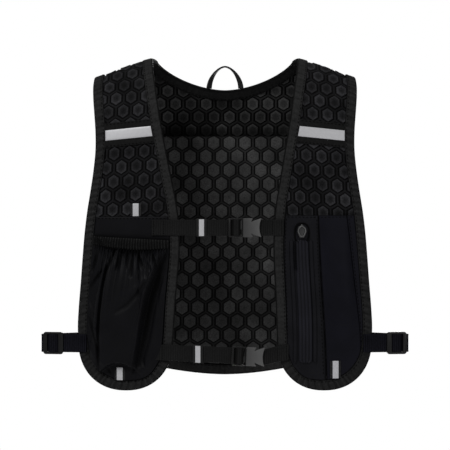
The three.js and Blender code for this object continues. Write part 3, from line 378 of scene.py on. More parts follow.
class Solid:
    # points in millimetres with their faces, and what the material reads at each point
    def __init__(self, points, faces, cloth=None, plate=None):
        self.points = np.asarray(points, float).reshape(-1, 3)
        self.faces = [np.asarray(f, int) for f in faces]
        count = len(self.points)
        self.cloth = np.zeros((count, 3)) if cloth is None else np.asarray(cloth, float).reshape(-1, 3)
        self.plate = np.zeros(count) if plate is None else np.asarray(plate, float).ravel()
        if sum(sixfoldVolume(self.points, f) for f in self.faces) < 0:
            self.faces = [f[:, ::-1] for f in self.faces]

    def joined(self, others):
        solids = [self] + list(others)
        starts = np.cumsum([0] + [len(s.points) for s in solids[:-1]])
        made = Solid.__new__(Solid)
        made.points = np.vstack([s.points for s in solids])
        made.cloth = np.vstack([s.cloth for s in solids])
        made.plate = np.concatenate([s.plate for s in solids])
        made.faces = [f + start for s, start in zip(solids, starts) for f in s.faces]
        return made

    def mesh(self, name, sharp):
        data = bpy.data.meshes.new(name)
        loops = np.concatenate([f.ravel() for f in self.faces])
        sizes = np.concatenate([np.full(len(f), f.shape[1]) for f in self.faces])
        data.vertices.add(len(self.points))
        data.vertices.foreach_set("co", (self.points / 1000).astype(np.float32).ravel())
        data.loops.add(len(loops))
        data.loops.foreach_set("vertex_index", loops.astype(np.int32))
        data.polygons.add(len(sizes))
        starts = np.concatenate([[0], np.cumsum(sizes)[:-1]])
        data.polygons.foreach_set("loop_start", starts.astype(np.int32))
        data.polygons.foreach_set("use_smooth", np.ones(len(sizes), bool))
        cloth = data.attributes.new("cloth", "FLOAT_VECTOR", "POINT")
        cloth.data.foreach_set("vector", self.cloth.astype(np.float32).ravel())
        plate = data.attributes.new("plate", "FLOAT", "POINT")
        plate.data.foreach_set("value", self.plate.astype(np.float32))
        data.update(calc_edges=True)
        data.set_sharp_from_angle(angle=np.radians(sharp))
        return data


def addPiece(name, solid, material, slot, nodes=(), sharp=38):
    # edges that turn by more than the sharp angle stay crisp
    piece = bpy.data.objects.new(name, solid.mesh(name, sharp))
    bpy.context.scene.collection.objects.link(piece)
    piece.data.materials.append(material)
    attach(piece, "root")
    if nodes:
        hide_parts(*nodes)
    return piece


def shellOf(top, bottom, cloth=None, plate=None):
    # a closed sheet between two grids of the same size
    rows, columns = top.shape[:2]
    count = rows * columns
    i = np.arange(count).reshape(rows, columns)
    faces = gridQuads(rows, columns)
    ring = np.concatenate([i[0], i[1:, -1], i[-1, -2::-1], i[-2:0:-1, 0]])
    after = np.roll(ring, -1)
    rim = np.stack([ring, after, after + count, ring + count], -1)
    points = np.concatenate([top.reshape(-1, 3), bottom.reshape(-1, 3)])
    cloth = None if cloth is None else np.concatenate([cloth.reshape(-1, 3)] * 2)
    plate = None if plate is None else np.concatenate([plate.ravel()] * 2)
    return Solid(points, [np.concatenate([faces, faces[:, ::-1] + count, rim])], cloth, plate)


def tubeOf(rings, closed=False, cloth=None, plate=None):
    # a profile carried along a path, as rings of points: capped by fans round their middle unless the
    # path is closed
    n, k = rings.shape[:2]
    i = np.arange(n * k).reshape(n, k)
    along = i[:-1] if not closed else i
    onward = i[1:] if not closed else np.roll(i, -1, 0)
    sides = np.stack([along, np.roll(along, -1, 1), np.roll(onward, -1, 1), onward], -1).reshape(-1, 4)
    points, faces = rings.reshape(-1, 3), [sides]
    cloth = np.zeros((n * k, 3)) if cloth is None else cloth.reshape(-1, 3)
    plate = np.zeros(n * k) if plate is None else plate.ravel()
    if not closed:
        points = np.vstack([points, rings[0].mean(0), rings[-1].mean(0)])
        cloth = np.vstack([cloth, cloth[:k].mean(0), cloth[-k:].mean(0)])
        plate = np.concatenate([plate, [plate[:k].mean()], [plate[-k:].mean()]])
        first = np.stack([np.roll(i[0], -1), i[0], np.full(k, n * k)], -1)
        last = np.stack([i[-1], np.roll(i[-1], -1), np.full(k, n * k + 1)], -1)
        faces += [first, last]
    return Solid(points, faces, cloth, plate)


def edgedShares(count, edge):
    # evenly spaced, with extra places close to both ends for a rounded rim
    return np.concatenate([[0, edge / 3], np.linspace(edge, 1 - edge, count), [1 - edge / 3, 1]])


def rimOf(shares, edge):
    # a quarter circle that rises from 0 at each end to 1 at the given share in from it
    inside = np.clip(np.minimum(shares, 1 - shares) / edge, 0, 1)
    return np.sqrt(1 - (1 - inside) ** 2)


def clothPiece(grid, side, low, thick, lift=0.0, rimDown=None, rimAcross=None, plate=None):
    # a sheet over a grid of (x, q) between two lifts, its upper face rounded down at the rims
    x, q = side * grid[..., 0], grid[..., 1]
    rim = np.ones(grid.shape[:2])
    if rimDown is not None:
        rim = rim * rimDown[:, None]
    if rimAcross is not None:
        rim = rim * rimAcross[None, :]
    top = onBody(x, q, low + lift + thick * (0.25 + 0.75 * rim))
    bottom = onBody(x, q, low + lift + 0 * x)
    return shellOf(top, bottom, np.stack([x, q, 0 * x], -1), plate)


# Shader maths: a socket that takes part in arithmetic, and a builder that adds nodes
class Wire:
    def __init__(self, shader, socket):
        self.shader, self.socket = shader, socket

    def maths(self, operation, first, second):
        return self.shader.node("ShaderNodeMath", {"operation": operation}, {0: first, 1: second})

    def __add__(self, other):
        return self.maths("ADD", self, other)

    def __radd__(self, other):
        return self.maths("ADD", other, self)

    def __sub__(self, other):
        return self.maths("SUBTRACT", self, other)

    def __rsub__(self, other):
        return self.maths("SUBTRACT", other, self)

    def __mul__(self, other):
        return self.maths("MULTIPLY", self, other)

    def __rmul__(self, other):
        return self.maths("MULTIPLY", other, self)


def greyStops(elements, stops):
    # a ramp comes with two stops, for the first and the last; the rest are added between
    for element, (place, level) in zip((elements[0], elements[1]), (stops[0], stops[-1])):
        element.position, element.color = place, (level, level, level, 1)
    for place, level in stops[1:-1]:
        elements.new(place).color = (level, level, level, 1)


class Shader:
    def __init__(self, name):
        self.material = bpy.data.materials.new(name)
        self.material.use_nodes = True
        self.tree = self.material.node_tree
        self.tree.nodes.clear()

    def node(self, kind, settings, values, output=0):
        # settings first, then values or links of the sockets; a node without outputs gives nothing back
        made = self.tree.nodes.new(kind)
        for key, value in settings.items():
            if key == "stops":
                greyStops(made.color_ramp.elements, value)
            else:
                setattr(made, key, value)
        for key, value in values.items():
            if isinstance(value, Wire):
                self.tree.links.new(value.socket, made.inputs[key])
            else:
                made.inputs[key].default_value = value
        return Wire(self, made.outputs[output]) if len(made.outputs) else None

    def ramp(self, factor, stops):
        return self.node("ShaderNodeValToRGB", {"stops": stops}, {0: factor})

    def attribute(self, name, output):
        return self.node("ShaderNodeAttribute", {"attribute_name": name}, {}, output)

    def place(self, scale):
        # the cloth's own coordinates, so many to the millimetre in each direction
        return self.node("ShaderNodeVectorMath", {"operation": "MULTIPLY"},
                         {0: self.attribute("cloth", "Vector"), 1: scale})

    def noise(self, vector, scale, detail=2.0):
        return self.node("ShaderNodeTexNoise", {}, {"Vector": vector, "Scale": scale, "Detail": detail})

    def mottle(self, scale, gain, detail=3.0):
        # noise spread about one
        return 1.0 + (self.noise(self.place((1, 1, 1)), scale, detail) - 0.5) * gain

    def tinted(self, base, shade):
        # the colour times a grey of that shade
        tint = self.node("ShaderNodeCombineColor", {}, {0: shade, 1: shade, 2: shade})
        return self.mixColour(1.0, base, tint, "MULTIPLY")

    def waves(self, vector, direction, scale, distortion=0.0):
        settings = {"wave_type": "BANDS", "bands_direction": direction, "wave_profile": "SIN"}
        values = {"Vector": vector, "Scale": scale, "Distortion": distortion}
        return self.node("ShaderNodeTexWave", settings, values)

    def mixColour(self, factor, first, second, blend="MIX"):
        settings = {"data_type": "RGBA", "blend_type": blend}
        return self.node("ShaderNodeMix", settings, {0: factor, 6: first, 7: second}, 2)

    def finish(self, colour, roughness, height=None, bumpDepth=0.0001, specular=0.3, others=None):
        values = {"Base Color": colour, "Roughness": roughness, "Specular IOR Level": specular}
        values.update(others or {})
        if height is not None:
            bump = {"Height": height, "Distance": bumpDepth, "Strength": 1.0}
            values["Normal"] = self.node("ShaderNodeBump", {}, bump)
        body = self.node("ShaderNodeBsdfPrincipled", {}, values)
        self.node("ShaderNodeOutputMaterial", {}, {"Surface": body})
        return self.material


def grey(value, blue=1.0):
    # an sRGB level from 0 to 255 as linear colour
    level = ((value / 255 + 0.055) / 1.055) ** 2.4 if value > 10 else value / 255 / 12.92
    return (level, level, level * blue, 1)


# grey levels as they look on screen, 0 to 255, and the size of the mesh's pores
weave = {
    "poreMillimetres": 1.3,
    "frontPlate": 46, "frontChannel": 7, "yokePlate": 59, "yokeChannel": 5,
    "sleevePlate": 63, "sleeveChannel": 8,
    # neckBinding is the binding's tape at a darker level: painted shade
    "binding": 37, "neckBinding": 22, "band": 19, "elastic": 38,
    "webbing": 15, "sideWebbing": 15, "thread": 6,
    "cloth": 10, "placket": 20, "zipCloth": 13, "zipperTape": 21,
    # ladderPlastic is the socket's plastic at a darker level, painted shade; pullRim the slider's at a
    # lighter level, painted highlight
    "plastic": 64, "ladderPlastic": 20, "lockPlastic": 18, "slider": 34, "pullRim": 84, "strip": 180,
}


def meshMaterial(name, raised, low):
    # dark in the channels, lighter on the plates by the plate value, which paints shade in the channels and
    # dished middles and sheen on the plate rims, with a fine round-pored knit over both
    s = Shader(name)
    pores = s.node("ShaderNodeTexVoronoi", {"feature": "F1"},
                   {"Vector": s.place((1, 1, 1)), "Scale": 1 / weave["poreMillimetres"], "Randomness": 0.35})
    level = s.ramp(s.attribute("plate", "Fac"), [(0.0, 0.0), (0.35, 0.3), (1.0, 1.0)])
    colour = s.tinted(s.mixColour(level, low, raised), s.ramp(pores, [(0.15, 0.6), (0.5, 1.0)]))
    colour = s.tinted(colour, s.mottle(0.5, 1.5) * s.mottle(0.03, 1.6, 1.0))
    return s.finish(colour, 0.75, pores * 0.6 + s.mottle(0.9, 0.4), 0.00022, 0.035)


def tapeMaterial(name, level, pitch, contrast=0.25, specular=0.07, depth=0.00016, blue=1.0):
    # ribs across the tape, crossed by finer threads along it; darker by the plate value, which the pieces
    # give as painted shade at edges, in hollows, between ribs and in buckle windows
    s = Shader(name)
    ribs = s.waves(s.place((1, 1, 1)), "X", np.pi / pitch / 10, 1.2)
    threads = s.waves(s.place((1, 1, 1)), "Y", np.pi / pitch / 6, 0.4)
    shade = s.mottle(0.42, 1.7, 4.0) * (1 + (ribs - 0.5) * contrast) * s.mottle(0.05, 0.6, 1.0)
    shade = shade * (1.0 - s.attribute("plate", "Fac") * 0.85)
    return s.finish(s.tinted(grey(level, blue), shade), 0.75, ribs * 0.7 + threads * 0.3, depth, specular)


def stretchMaterial(name, level, blue, specular):
    # smooth knit cloth with a faint diagonal and a soft gloss on its folds; darker and rougher by the plate
    # value, which the pieces give as painted shade in folds, grooves and under the pouch's mouth
    s = Shader(name)
    twill = s.waves(s.place((1, 0.6, 1)), "DIAGONAL", 0.45, 0.3)
    hidden = 1.0 - s.attribute("plate", "Fac") * 0.88
    shade = s.mottle(0.6, 0.9) * s.mottle(0.035, 0.8, 1.0) * hidden
    body = s.tinted(grey(level, blue), shade)
    return s.finish(body, 0.5 + (1.0 - hidden) * 0.4, twill * 0.4, 0.00006, specular)


def plasticMaterial(name, level, roughness, specular, fade=None):
    # moulded plastic: fine spark-eroded grain, faint flow marks, and a painted light gradient across the
    # vest, given as x from, x to, shade from, shade to
    s = Shader(name)
    where = s.node("ShaderNodeTexCoord", {}, {}, "Object")
    grain = s.noise(where, 2600.0, 2.0)
    flow = s.noise(where, 90.0, 2.0)
    shade = 0.86 + flow * 0.28
    if fade:
        across = s.node("ShaderNodeSeparateXYZ", {}, {0: where})
        shade = shade * s.node("ShaderNodeMapRange", {}, {0: across, **dict(enumerate(fade, 1))})
    colour = s.tinted(grey(level), shade)
    return s.finish(colour, roughness + flow * 0.12, grain, 0.00003, specular)


def stripMaterial(name, level):
    # glass-bead tape: fine bright grain on silver grey
    s = Shader(name)
    beads = s.node("ShaderNodeTexVoronoi", {"feature": "F1"}, {"Vector": s.place((1, 1, 1)), "Scale": 3.2})
    grain = s.noise(s.place((1, 1, 1)), 0.25, 2.0)
    colour = s.tinted(grey(level, 1.03), 0.86 + beads * 0.12 + grain * 0.16)
    return s.finish(colour, 0.42, beads, 0.00004, 0.4, {"Metallic": 0.15})


frontMesh = meshMaterial("hexagonMeshFront", grey(weave["frontPlate"], 1.08), grey(weave["frontChannel"]))
yokeMesh = meshMaterial("hexagonMeshYoke", grey(weave["yokePlate"]), grey(weave["yokeChannel"]))
sleeveMesh = meshMaterial("hexagonMeshSleeve", grey(weave["sleevePlate"]), grey(weave["sleeveChannel"]))
bindingKnit = tapeMaterial("bindingKnit", weave["binding"], pitch=1.1, specular=0.045, depth=0.00012)
# the binding's knit at a darker level: painted shade
neckKnit = tapeMaterial("neckKnit", weave["neckBinding"], pitch=1.1)
bandKnit = tapeMaterial("bandKnit", weave["band"], pitch=1.3)
elasticKnit = tapeMaterial("elasticKnit", weave["elastic"], pitch=1.3, contrast=0.2)
strapWeave = tapeMaterial("strapWeave", weave["webbing"], pitch=2.9, contrast=0.8, specular=0.12,
                          depth=0.0003)
sideWeave = tapeMaterial("sideWeave", weave["sideWebbing"], pitch=2.6, contrast=0.7, specular=0.045,
                         depth=0.0003, blue=1.5)
threadBlack = tapeMaterial("threadBlack", weave["thread"], pitch=0.5, contrast=0.2, specular=0.05,
                           depth=0.00005)
pocketStretch = stretchMaterial("pocketStretch", weave["cloth"], blue=1.3, specular=0.08)
placketCloth = stretchMaterial("placketCloth", weave["placket"], blue=1.25, specular=0.06)
zipStretch = stretchMaterial("zipStretch", weave["zipCloth"], blue=1.75, specular=0.07)
zipperCloth = stretchMaterial("zipperCloth", weave["zipperTape"], blue=1.5, specular=0.12)
# painted light: the socket is darker to the left and lighter to the right
bucklePlastic = plasticMaterial("bucklePlastic", weave["plastic"], roughness=0.36, specular=0.45,
                                fade=(0.022, 0.042, 0.5, 1.35))
# the buckle's plastic at a darker level: painted shade
ladderPlastic = plasticMaterial("ladderPlastic", weave["ladderPlastic"], roughness=0.26, specular=0.22)
lockPlastic = plasticMaterial("lockPlastic", weave["lockPlastic"], roughness=0.26, specular=0.2)
sliderPlastic = plasticMaterial("sliderPlastic", weave["slider"], roughness=0.3, specular=0.5)
# the slider's plastic at a lighter level: painted highlight
pullRim = plasticMaterial("pullRim", weave["pullRim"], roughness=0.3, specular=0.5)
silverStrip = stripMaterial("silverStrip", weave["strip"])
print("materials ready")


# Hexagon mesh
def insidePolygon(points, polygon):
    # even number of edges crossed to the right means outside
    x, y = points[:, 0][:, None], points[:, 1][:, None]
    a, b = polygon, np.roll(polygon, -1, 0)
    spans = (a[:, 1] > y) != (b[:, 1] > y)
    slope = (b[:, 0] - a[:, 0]) / np.where(b[:, 1] == a[:, 1], 1e-9, b[:, 1] - a[:, 1])
    return (spans & (x < slope * (y - a[:, 1]) + a[:, 0])).sum(1) % 2 == 1


def nearestOn(points, polygon):
    # foot of each point on every side, then the nearest of them
    a, b = polygon, np.roll(polygon, -1, 0)
    run = b - a
    share = np.einsum("ijk,jk->ij", points[:, None] - a, run) / np.maximum((run ** 2).sum(1), 1e-9)
    place = a + np.clip(share, 0, 1)[..., None] * run
    nearest = np.linalg.norm(points[:, None] - place, axis=2).argmin(1)
    return place[np.arange(len(points)), nearest]


# The pattern's own height runs with the drop below the ridge at the neck, eased over the shoulder
honeycomb = {"ease": 0.4, "rowsAbove": 14, "rowsBelow": 8, "reach": 400, "margin": 30, "seed": 11}
hexEase = honeycomb["ease"]
patternQ = np.linspace(-140, 470, 1221)
patternFar = rollFall[-1] - rollLength[-1]
patternBase = hexEase * dropOf(np.abs(patternQ)) + (1 - hexEase) * (np.abs(patternQ) + patternFar)
patternRow = np.where(patternQ < 0, 2 * (1 - hexEase) * patternFar - patternBase, patternBase)


def cellRings(cells):
    # twelve points round the hexagon at each share of its size, in pattern millimetres
    w, h = cells["pitch"] / 2, cells["row"] / 3
    corners = np.array([(0, 2 * h), (w, h), (w, -h), (0, -2 * h), (-w, -h), (-w, h)])
    around = np.stack([corners, (corners + np.roll(corners, -1, 0)) / 2], 1).reshape(-1, 2)
    shares = np.array([share for share, _, _ in cells["rings"]])
    stretch = np.where(shares[:, None, None] < 0.8, [1 / cells["tall"], cells["tall"]], 1.0)
    return np.vstack([(shares[:, None, None] * around * stretch).reshape(-1, 2), [(0, 0)]])


def cellFaces(rings, count):
    # bands of four-sided faces between the rings of twelve, and a fan to the middle, for every cell
    k, perCell = np.arange(12), 12 * rings + 1
    bands = [np.stack([12 * i + k, 12 * i + (k + 1) % 12, 12 * i + 12 + (k + 1) % 12, 12 * i + 12 + k], -1)
             for i in range(rings - 1)]
    fan = np.stack([perCell - 13 + k, perCell - 13 + (k + 1) % 12, np.full(12, perCell - 1)], -1)
    starts = (np.arange(count) * perCell)[:, None, None]
    return (np.concatenate(bands)[None] + starts).reshape(-1, 4), (fan[None] + starts).reshape(-1, 3)


def openEdges(quads, fans):
    # sides that only one face has
    edges = np.concatenate([quads[:, [i, (i + 1) % 4]] for i in range(4)]
                           + [fans[:, [i, (i + 1) % 3]] for i in range(3)])
    _, which, uses = np.unique(np.sort(edges, 1), axis=0, return_inverse=True, return_counts=True)
    return edges[uses[which.ravel()] == 1]


def hexCloth(polygon, cells, liftOf, sign, shadeOf):
    # A honeycomb of raised plates. Each hexagon is a set of rings round its centre, at shares of its size,
    # each ring with its own height: a ridge on the shared edge, a channel inside it, then the plate. Rings of
    # all cells come from one broadcast; shared edges are welded, cells outside the outline are dropped, and
    # points past it move onto it.
    low, high = polygon.min(0), polygon.max(0)
    rows = np.arange(-honeycomb["rowsAbove"], int(bodyDrop / cells["row"]) + honeycomb["rowsBelow"])
    aside = int(honeycomb["reach"] / cells["pitch"]) + 2
    columns = np.arange(-aside, aside + 1)
    row, column = (a.ravel() for a in np.meshgrid(rows, columns, indexing="ij"))
    centre = np.stack([(column + 0.5 * (row % 2)) * cells["pitch"], row * cells["row"]], -1)
    points = (centre[:, None] + cellRings(cells)).reshape(-1, 2)
    x, y = points[:, 0], points[:, 1]
    points = np.stack([x + cells["lean"] * y, y + cells["rise"] * x], -1) + cells["anchor"]
    perCell = 12 * len(cells["rings"]) + 1
    fall = torso["ridgeHeight"] - ridgeAt(points[:, 0])
    q = np.interp(points[:, 1] - fall, patternRow, patternQ)
    flat = np.stack([points[:, 0], q if sign > 0 else -q], -1)
    margin = honeycomb["margin"]
    keep = ((flat >= low - margin) & (flat <= high + margin)).all(1).reshape(-1, perCell).any(1)
    flat = flat.reshape(-1, perCell, 2)[keep].reshape(-1, 2)
    count = keep.sum()
    heights = np.append(np.repeat([lift for _, lift, _ in cells["rings"]], 12), cells["middle"])
    # the ring tones are painted shade in the channels and dishes and painted sheen on the plate rims
    tones = np.append(np.repeat([tone for _, _, tone in cells["rings"]], 12), cells["middleTone"])
    shine = 1 + cells["spread"] * np.random.default_rng(honeycomb["seed"]).uniform(-1, 1, count)
    heights, tones = np.tile(heights, count), (tones * shine[:, None]).ravel()
    quads, fans = cellFaces(len(cells["rings"]), count)
    _, first, weld = np.unique(np.round(flat, 2), axis=0, return_index=True, return_inverse=True)
    flat, heights, tones = flat[first], heights[first], tones[first]
    quads, fans = weld.ravel()[quads], weld.ravel()[fans]
    inside = insidePolygon(flat, polygon)
    quads, fans = quads[inside[quads].any(1)], fans[inside[fans].any(1)]
    used = np.unique(np.concatenate([quads.ravel(), fans.ravel()]))
    renumber = np.zeros(len(flat), int)
    renumber[used] = np.arange(len(used))
    flat, heights, tones, inside = flat[used], heights[used], tones[used], inside[used]
    quads, fans = renumber[quads], renumber[fans]
    flat[~inside] = nearestOn(flat[~inside], polygon)
    x, q = flat[:, 0], flat[:, 1]
    # shadeOf paints light and shade across the whole panel
    tones, lift = tones * shadeOf(x, q), liftOf(x, q)
    outer = onBody(x, q, lift + cells["core"] + heights)
    inner = onBody(x, q, lift - cells["core"] - heights)
    rim = openEdges(quads, fans)
    n = len(flat)
    walls = np.stack([rim[:, 1], rim[:, 0], rim[:, 0] + n, rim[:, 1] + n], -1)
    faces = [np.concatenate([quads, quads[:, ::-1] + n, walls]), np.concatenate([fans, fans[:, ::-1] + n])]
    cloth = np.stack([x, q, 0 * x], -1)
    return Solid(np.vstack([outer, inner]), faces, np.vstack([cloth, cloth]), np.tile(tones, 2))


def polygonArea(polygon):
    # half the sum of the corners' cross products
    x, y = polygon[:, 0], polygon[:, 1]
    return abs(np.dot(x, np.roll(y, -1)) - np.dot(y, np.roll(x, -1))) / 2


def asSheet(outline):
    # the cut's size on the flat: its outline's extent, and the area inside it
    size = outline.max(0) - outline.min(0)
    area = min(polygonArea(outline), size[0] * size[1]) / 1e6
    flat = (size[0] / 1000, size[1] / 1000)


def asStrip(length, width):
    # a straight strip cut across its width, in millimetres
    length / 1000
    width / 1000


def lengthOfPath(path):
    return np.linalg.norm(np.diff(path, axis=0), axis=1).sum()


# Rings from the shared edge inwards: share of the hexagon, height, tone. Front plates are dished and back
# ones flat; middle is the height at the centre, tall how much the plate is drawn out. Tone is painted light:
# dark channels are painted shade, light plate rims painted sheen, darker dished middles painted shade.
frontCells = {
    "pitch": 18.9, "row": 17.6, "lean": -0.03, "rise": 0.075, "core": 0.4,
    "rings": [(1.0, 0.62, 0.33), (0.9, 0.5, 0.26), (0.84, 0.0, 0.0), (0.74, 0.1, 0.0), (0.66, 1.45, 1.0),
              (0.34, 1.15, 0.45)],
    "middle": 0.75, "middleTone": 0.25, "spread": 0.35, "tall": 1.06,
}
backCells = {
    "pitch": 20.6, "row": 17.7, "lean": 0.0, "rise": 0.0, "core": 0.4,
    "rings": [(1.0, 0.6, 0.36), (0.91, 0.5, 0.3), (0.86, 0.0, 0.0), (0.78, 0.1, 0.0), (0.71, 1.3, 0.95),
              (0.4, 1.5, 0.95)],
    "middle": 1.45, "middleTone": 0.75, "spread": 0.22, "tall": 1.05,
}
yokeCells = dict(backCells, rings=frontCells["rings"], middle=0.8, middleTone=0.45, spread=0.5,
                 pitch=19.9, row=17.4)
frontAnchors = {"bottle": (138.3, 120.5), "zip": (120.5, 124.0)}
yokeAnchor, sleeveAnchor = (-33.9, 70.3), (-35.4, 104.0)


def sealedOutline(line, sign, distance):
    # the panel's cut edge inside its binding, closed along the seam
    inner = movedIn(line, distance)
    seam = -cut["seamBack"] + sign * layers["clearance"] / 2
    inner[:, 1] = np.maximum(inner[:, 1], seam) if sign > 0 else np.minimum(inner[:, 1], seam)
    return inner


# foldTone, foldFrom and foldOver below set the painted shadow on the back just above the sleeve's mouth
yoke = {"fullness": 1.9, "reach": 24, "inner": 98, "outer": 151,
        "foldTone": 0.3, "foldFrom": 3, "foldOver": 14}
# the fronts' painted light and shade, darker towards the opening below the chest band
frontPaintedShade = {"below": 105, "over": 60, "inside": 140, "across": 50, "pale": 1.1, "depth": 0.4}


def yokeLift(x, q):
    # a bell along the cloth centred on the ridge, fading to nothing at the bindings
    share = np.clip((np.abs(x) - yoke["inner"]) / (yoke["outer"] - yoke["inner"]), 0, 1)
    return yoke["fullness"] * np.sin(np.pi * share) ** 0.6 * np.exp(-(q / yoke["reach"]) ** 2)


def frontShade(x, q):
    # painted light and shade: paler towards the armhole, and darker towards the opening below the chest band
    fade = frontPaintedShade
    below = np.clip((-heightAt(x, q) - fade["below"]) / fade["over"], 0, 1)
    inner = np.clip((fade["inside"] - np.abs(x)) / fade["across"], 0, 1)
    return fade["pale"] - fade["depth"] * below * inner


def makeFronts():
    inset = layers["tape"] + layers["clearance"]
    for name, side in (("bottle", -1), ("zip", 1)):
        outline = sealedOutline(frontOutline(name), 1, inset) * [side, 1]
        cells = dict(frontCells, anchor=np.array(frontAnchors[name]) * [side, 1],
                     lean=side * -frontCells["lean"], rise=side * frontCells["rise"])
        solid = hexCloth(outline, cells, yokeLift, 1, frontShade)
        node = f"front_panel_{name}_side"
        piece = addPiece(f"hexagon_front_{name}_side", solid, frontMesh, "mesh", [node], 60)
        asSheet(outline)


sleeve = {
    "drop": 95.6, "cloth": 2.4, "gape": 9, "fullness": 4, "relief": 0.55, "core": 0.35,
    # paleMouth to sideHalf set the sleeve's painted light and shade
    "paleMouth": 1.14, "paleFall": 0.36, "fallOver": 290,
    "paleMiddle": 1.05, "sideFall": 0.3, "sideHalf": 110,
}


def makeBack():
    inset = layers["tape"] + layers["clearance"]
    edge = sealedOutline(backOutline(), -1, inset)
    neck = sealedOutline(neckline(), -1, inset)
    outline = np.vstack([edge, neck])
    mouth = torso["ridgeHeight"] - sleeve["drop"]

    def shadeOf(x, q):
        # painted shadow: the cloth is darker in the fold just above the sleeve's mouth
        clear = np.clip((heightAt(x, q) - mouth - yoke["foldFrom"]) / yoke["foldOver"], 0, 1)
        return yoke["foldTone"] + (1 - yoke["foldTone"]) * clear

    cells = dict(yokeCells, anchor=np.array(yokeAnchor))
    solid = hexCloth(outline, cells, yokeLift, -1, shadeOf)
    piece = addPiece("hexagon_back", solid, yokeMesh, "mesh", ["back_panel"], 60)
    asSheet(outline)


def makeSleeve():
    # a second honeycomb sheet that stands off the back by a power of the distance to its seams
    edge = movedIn(backOutline(), layers["binding"] + 3 * layers["clearance"])
    top = torso["ridgeHeight"] - sleeve["drop"]
    z = heightAt(edge[:, 0], edge[:, 1])
    first, last = np.nonzero(z < top)[0][[0, -1]]
    corner = crossingOf(edge[:first + 1], levelEdge(top))[0]
    lower = edge[first:last + 1]
    mouth = np.linspace(-corner[0], corner[0], 60)
    mouth = np.stack([mouth, -frontLength(mouth, top + 0 * mouth)], -1)
    outline = np.vstack([lower, mouth])
    steps = backRows["steps"]
    rightSide, hemLine = edge[first:steps], edge[steps - 1:-steps + 1]
    order = np.argsort(hemLine[:, 0])

    def liftOf(x, q):
        # the gape times one less a power of the way to the sides, and of the way down
        half = np.interp(-q, -rightSide[:, 1], rightSide[:, 0])
        across = np.clip(np.abs(x) / half, 0, 1)
        start = frontLength(x, top + 0 * x)
        end = -np.interp(x, hemLine[order, 0], hemLine[order, 1])
        down = np.clip((-q - start) / (end - start), 0, 1)
        power = sleeve["fullness"]
        bulge = sleeve["gape"] * (1 - across ** power) * (1 - down ** power)
        return -seatLift - sleeve["cloth"] / 2 - bulge

    def shadeOf(x, q):
        # painted light: paler towards the middle and the mouth, darker towards the sides and the hem
        down = np.clip((top - heightAt(x, q)) / sleeve["fallOver"], 0, 1)
        aside = np.clip(np.abs(x) / sleeve["sideHalf"], 0, 1)
        return ((sleeve["paleMouth"] - sleeve["paleFall"] * down)
                * (sleeve["paleMiddle"] - sleeve["sideFall"] * aside ** 2))

    relief = sleeve["relief"]
    rings = [(share, height * relief, tone) for share, height, tone in backCells["rings"]]
    cells = dict(backCells, anchor=np.array(sleeveAnchor), rings=rings, core=sleeve["core"],
                 middle=backCells["middle"] * relief)
    solid = hexCloth(outline, cells, liftOf, -1, shadeOf)
    piece = addPiece("hexagon_sleeve", solid, sleeveMesh, "mesh", ["bladder_sleeve"], 60)
    asSheet(outline)


makeFronts()
makeBack()
makeSleeve()
print("hexagon panels ready")


# Bindings: half of the folded tape's profile as distance in from the edge and lift, the other half mirrored
tapeFold = {
    "outer": [(12.4, 2.3), (12.1, 2.75), (11.2, 3.0), (10.4, 2.86), (9.6, 3.0), (6.5, 3.0), (2.0, 3.0),
              (0.7, 2.85), (0.15, 2.3), (0.0, 1.2)],
    "inner": [(1.0, 0.6), (1.3, 1.6), (2.2, 2.02), (12.2, 2.04)],
    # hollowTone sets painted shade in the puckers' hollows; sideTone to lobeOver painted shade at the front
    # bindings' sides and bottom
    "pucker": 0.22, "puckerPitch": 8.3, "hollowTone": 1.1,
    "sideTone": 0.26, "sideFrom": 150, "sideOver": 12, "lobeTone": 0.36, "lobeFrom": -345, "lobeOver": 20,
    "stitchIn": 10.3, "stitchPitch": 4.6, "stitchLength": 3.0, "stitchThick": 0.9, "stitchLift": 2.86,
}


def paintedBindingShade(line):
    # painted shade: the front bindings are darker at the sides and along the bottom
    fold = tapeFold
    aside = np.clip((np.abs(line[:, 0]) - fold["sideFrom"]) / fold["sideOver"], 0, 1)
    below = np.clip((fold["lobeFrom"] - heightAt(line[:, 0], line[:, 1])) / fold["lobeOver"], 0, 1)
    return np.maximum(fold["sideTone"] * aside, fold["lobeTone"] * below)


def foldedTape(line, side, sign):
    # the profile (distance, lift) at each point of the line, with small puckers between the stitches; the
    # plate value paints shade in the puckers' hollows and along both edges
    outer, inner = np.array(tapeFold["outer"]), np.array(tapeFold["inner"])
    profile = np.vstack([outer, outer[::-1] * [1, -1], inner[::-1] * [1, -1], inner])
    length = runAlong(line)
    even = np.linspace(0, length[-1], max(int(length[-1] / 2.2), 8))
    fine = lineAt(line, even / length[-1])
    paintedShade = paintedBindingShade(fine) * (sign > 0)
    rings, cloth, dark = [], [], []
    seam = -cut["seamBack"] + sign * layers["clearance"] / 2
    for distance, lift in profile:
        moved = movedIn(fine, distance)
        moved[:, 1] = np.maximum(moved[:, 1], seam) if sign > 0 else np.minimum(moved[:, 1], seam)
        uneven = even / tapeFold["puckerPitch"] + 0.6 * np.sin(even / 31)
        wave = np.cos(2 * np.pi * uneven) + 0.6 * np.cos(2 * np.pi * 2.3 * uneven)
        wave = tapeFold["pucker"] * wave * (abs(lift) > 2.5)
        rings.append(onBody(side * moved[:, 0], moved[:, 1], lift + np.sign(lift) * wave * (distance > 1)))
        cloth.append(np.stack([even, np.full(len(even), distance + 30 * (lift < 0)), 0 * even], -1))
        hollow = np.clip(paintedShade - tapeFold["hollowTone"] * wave, 0, 0.7)
        dark.append(np.maximum(hollow, 0.9 * (distance < 0.9 or distance > 12)))
    return tubeOf(np.stack(rings, 1), False, np.stack(cloth, 1), np.stack(dark, 1))


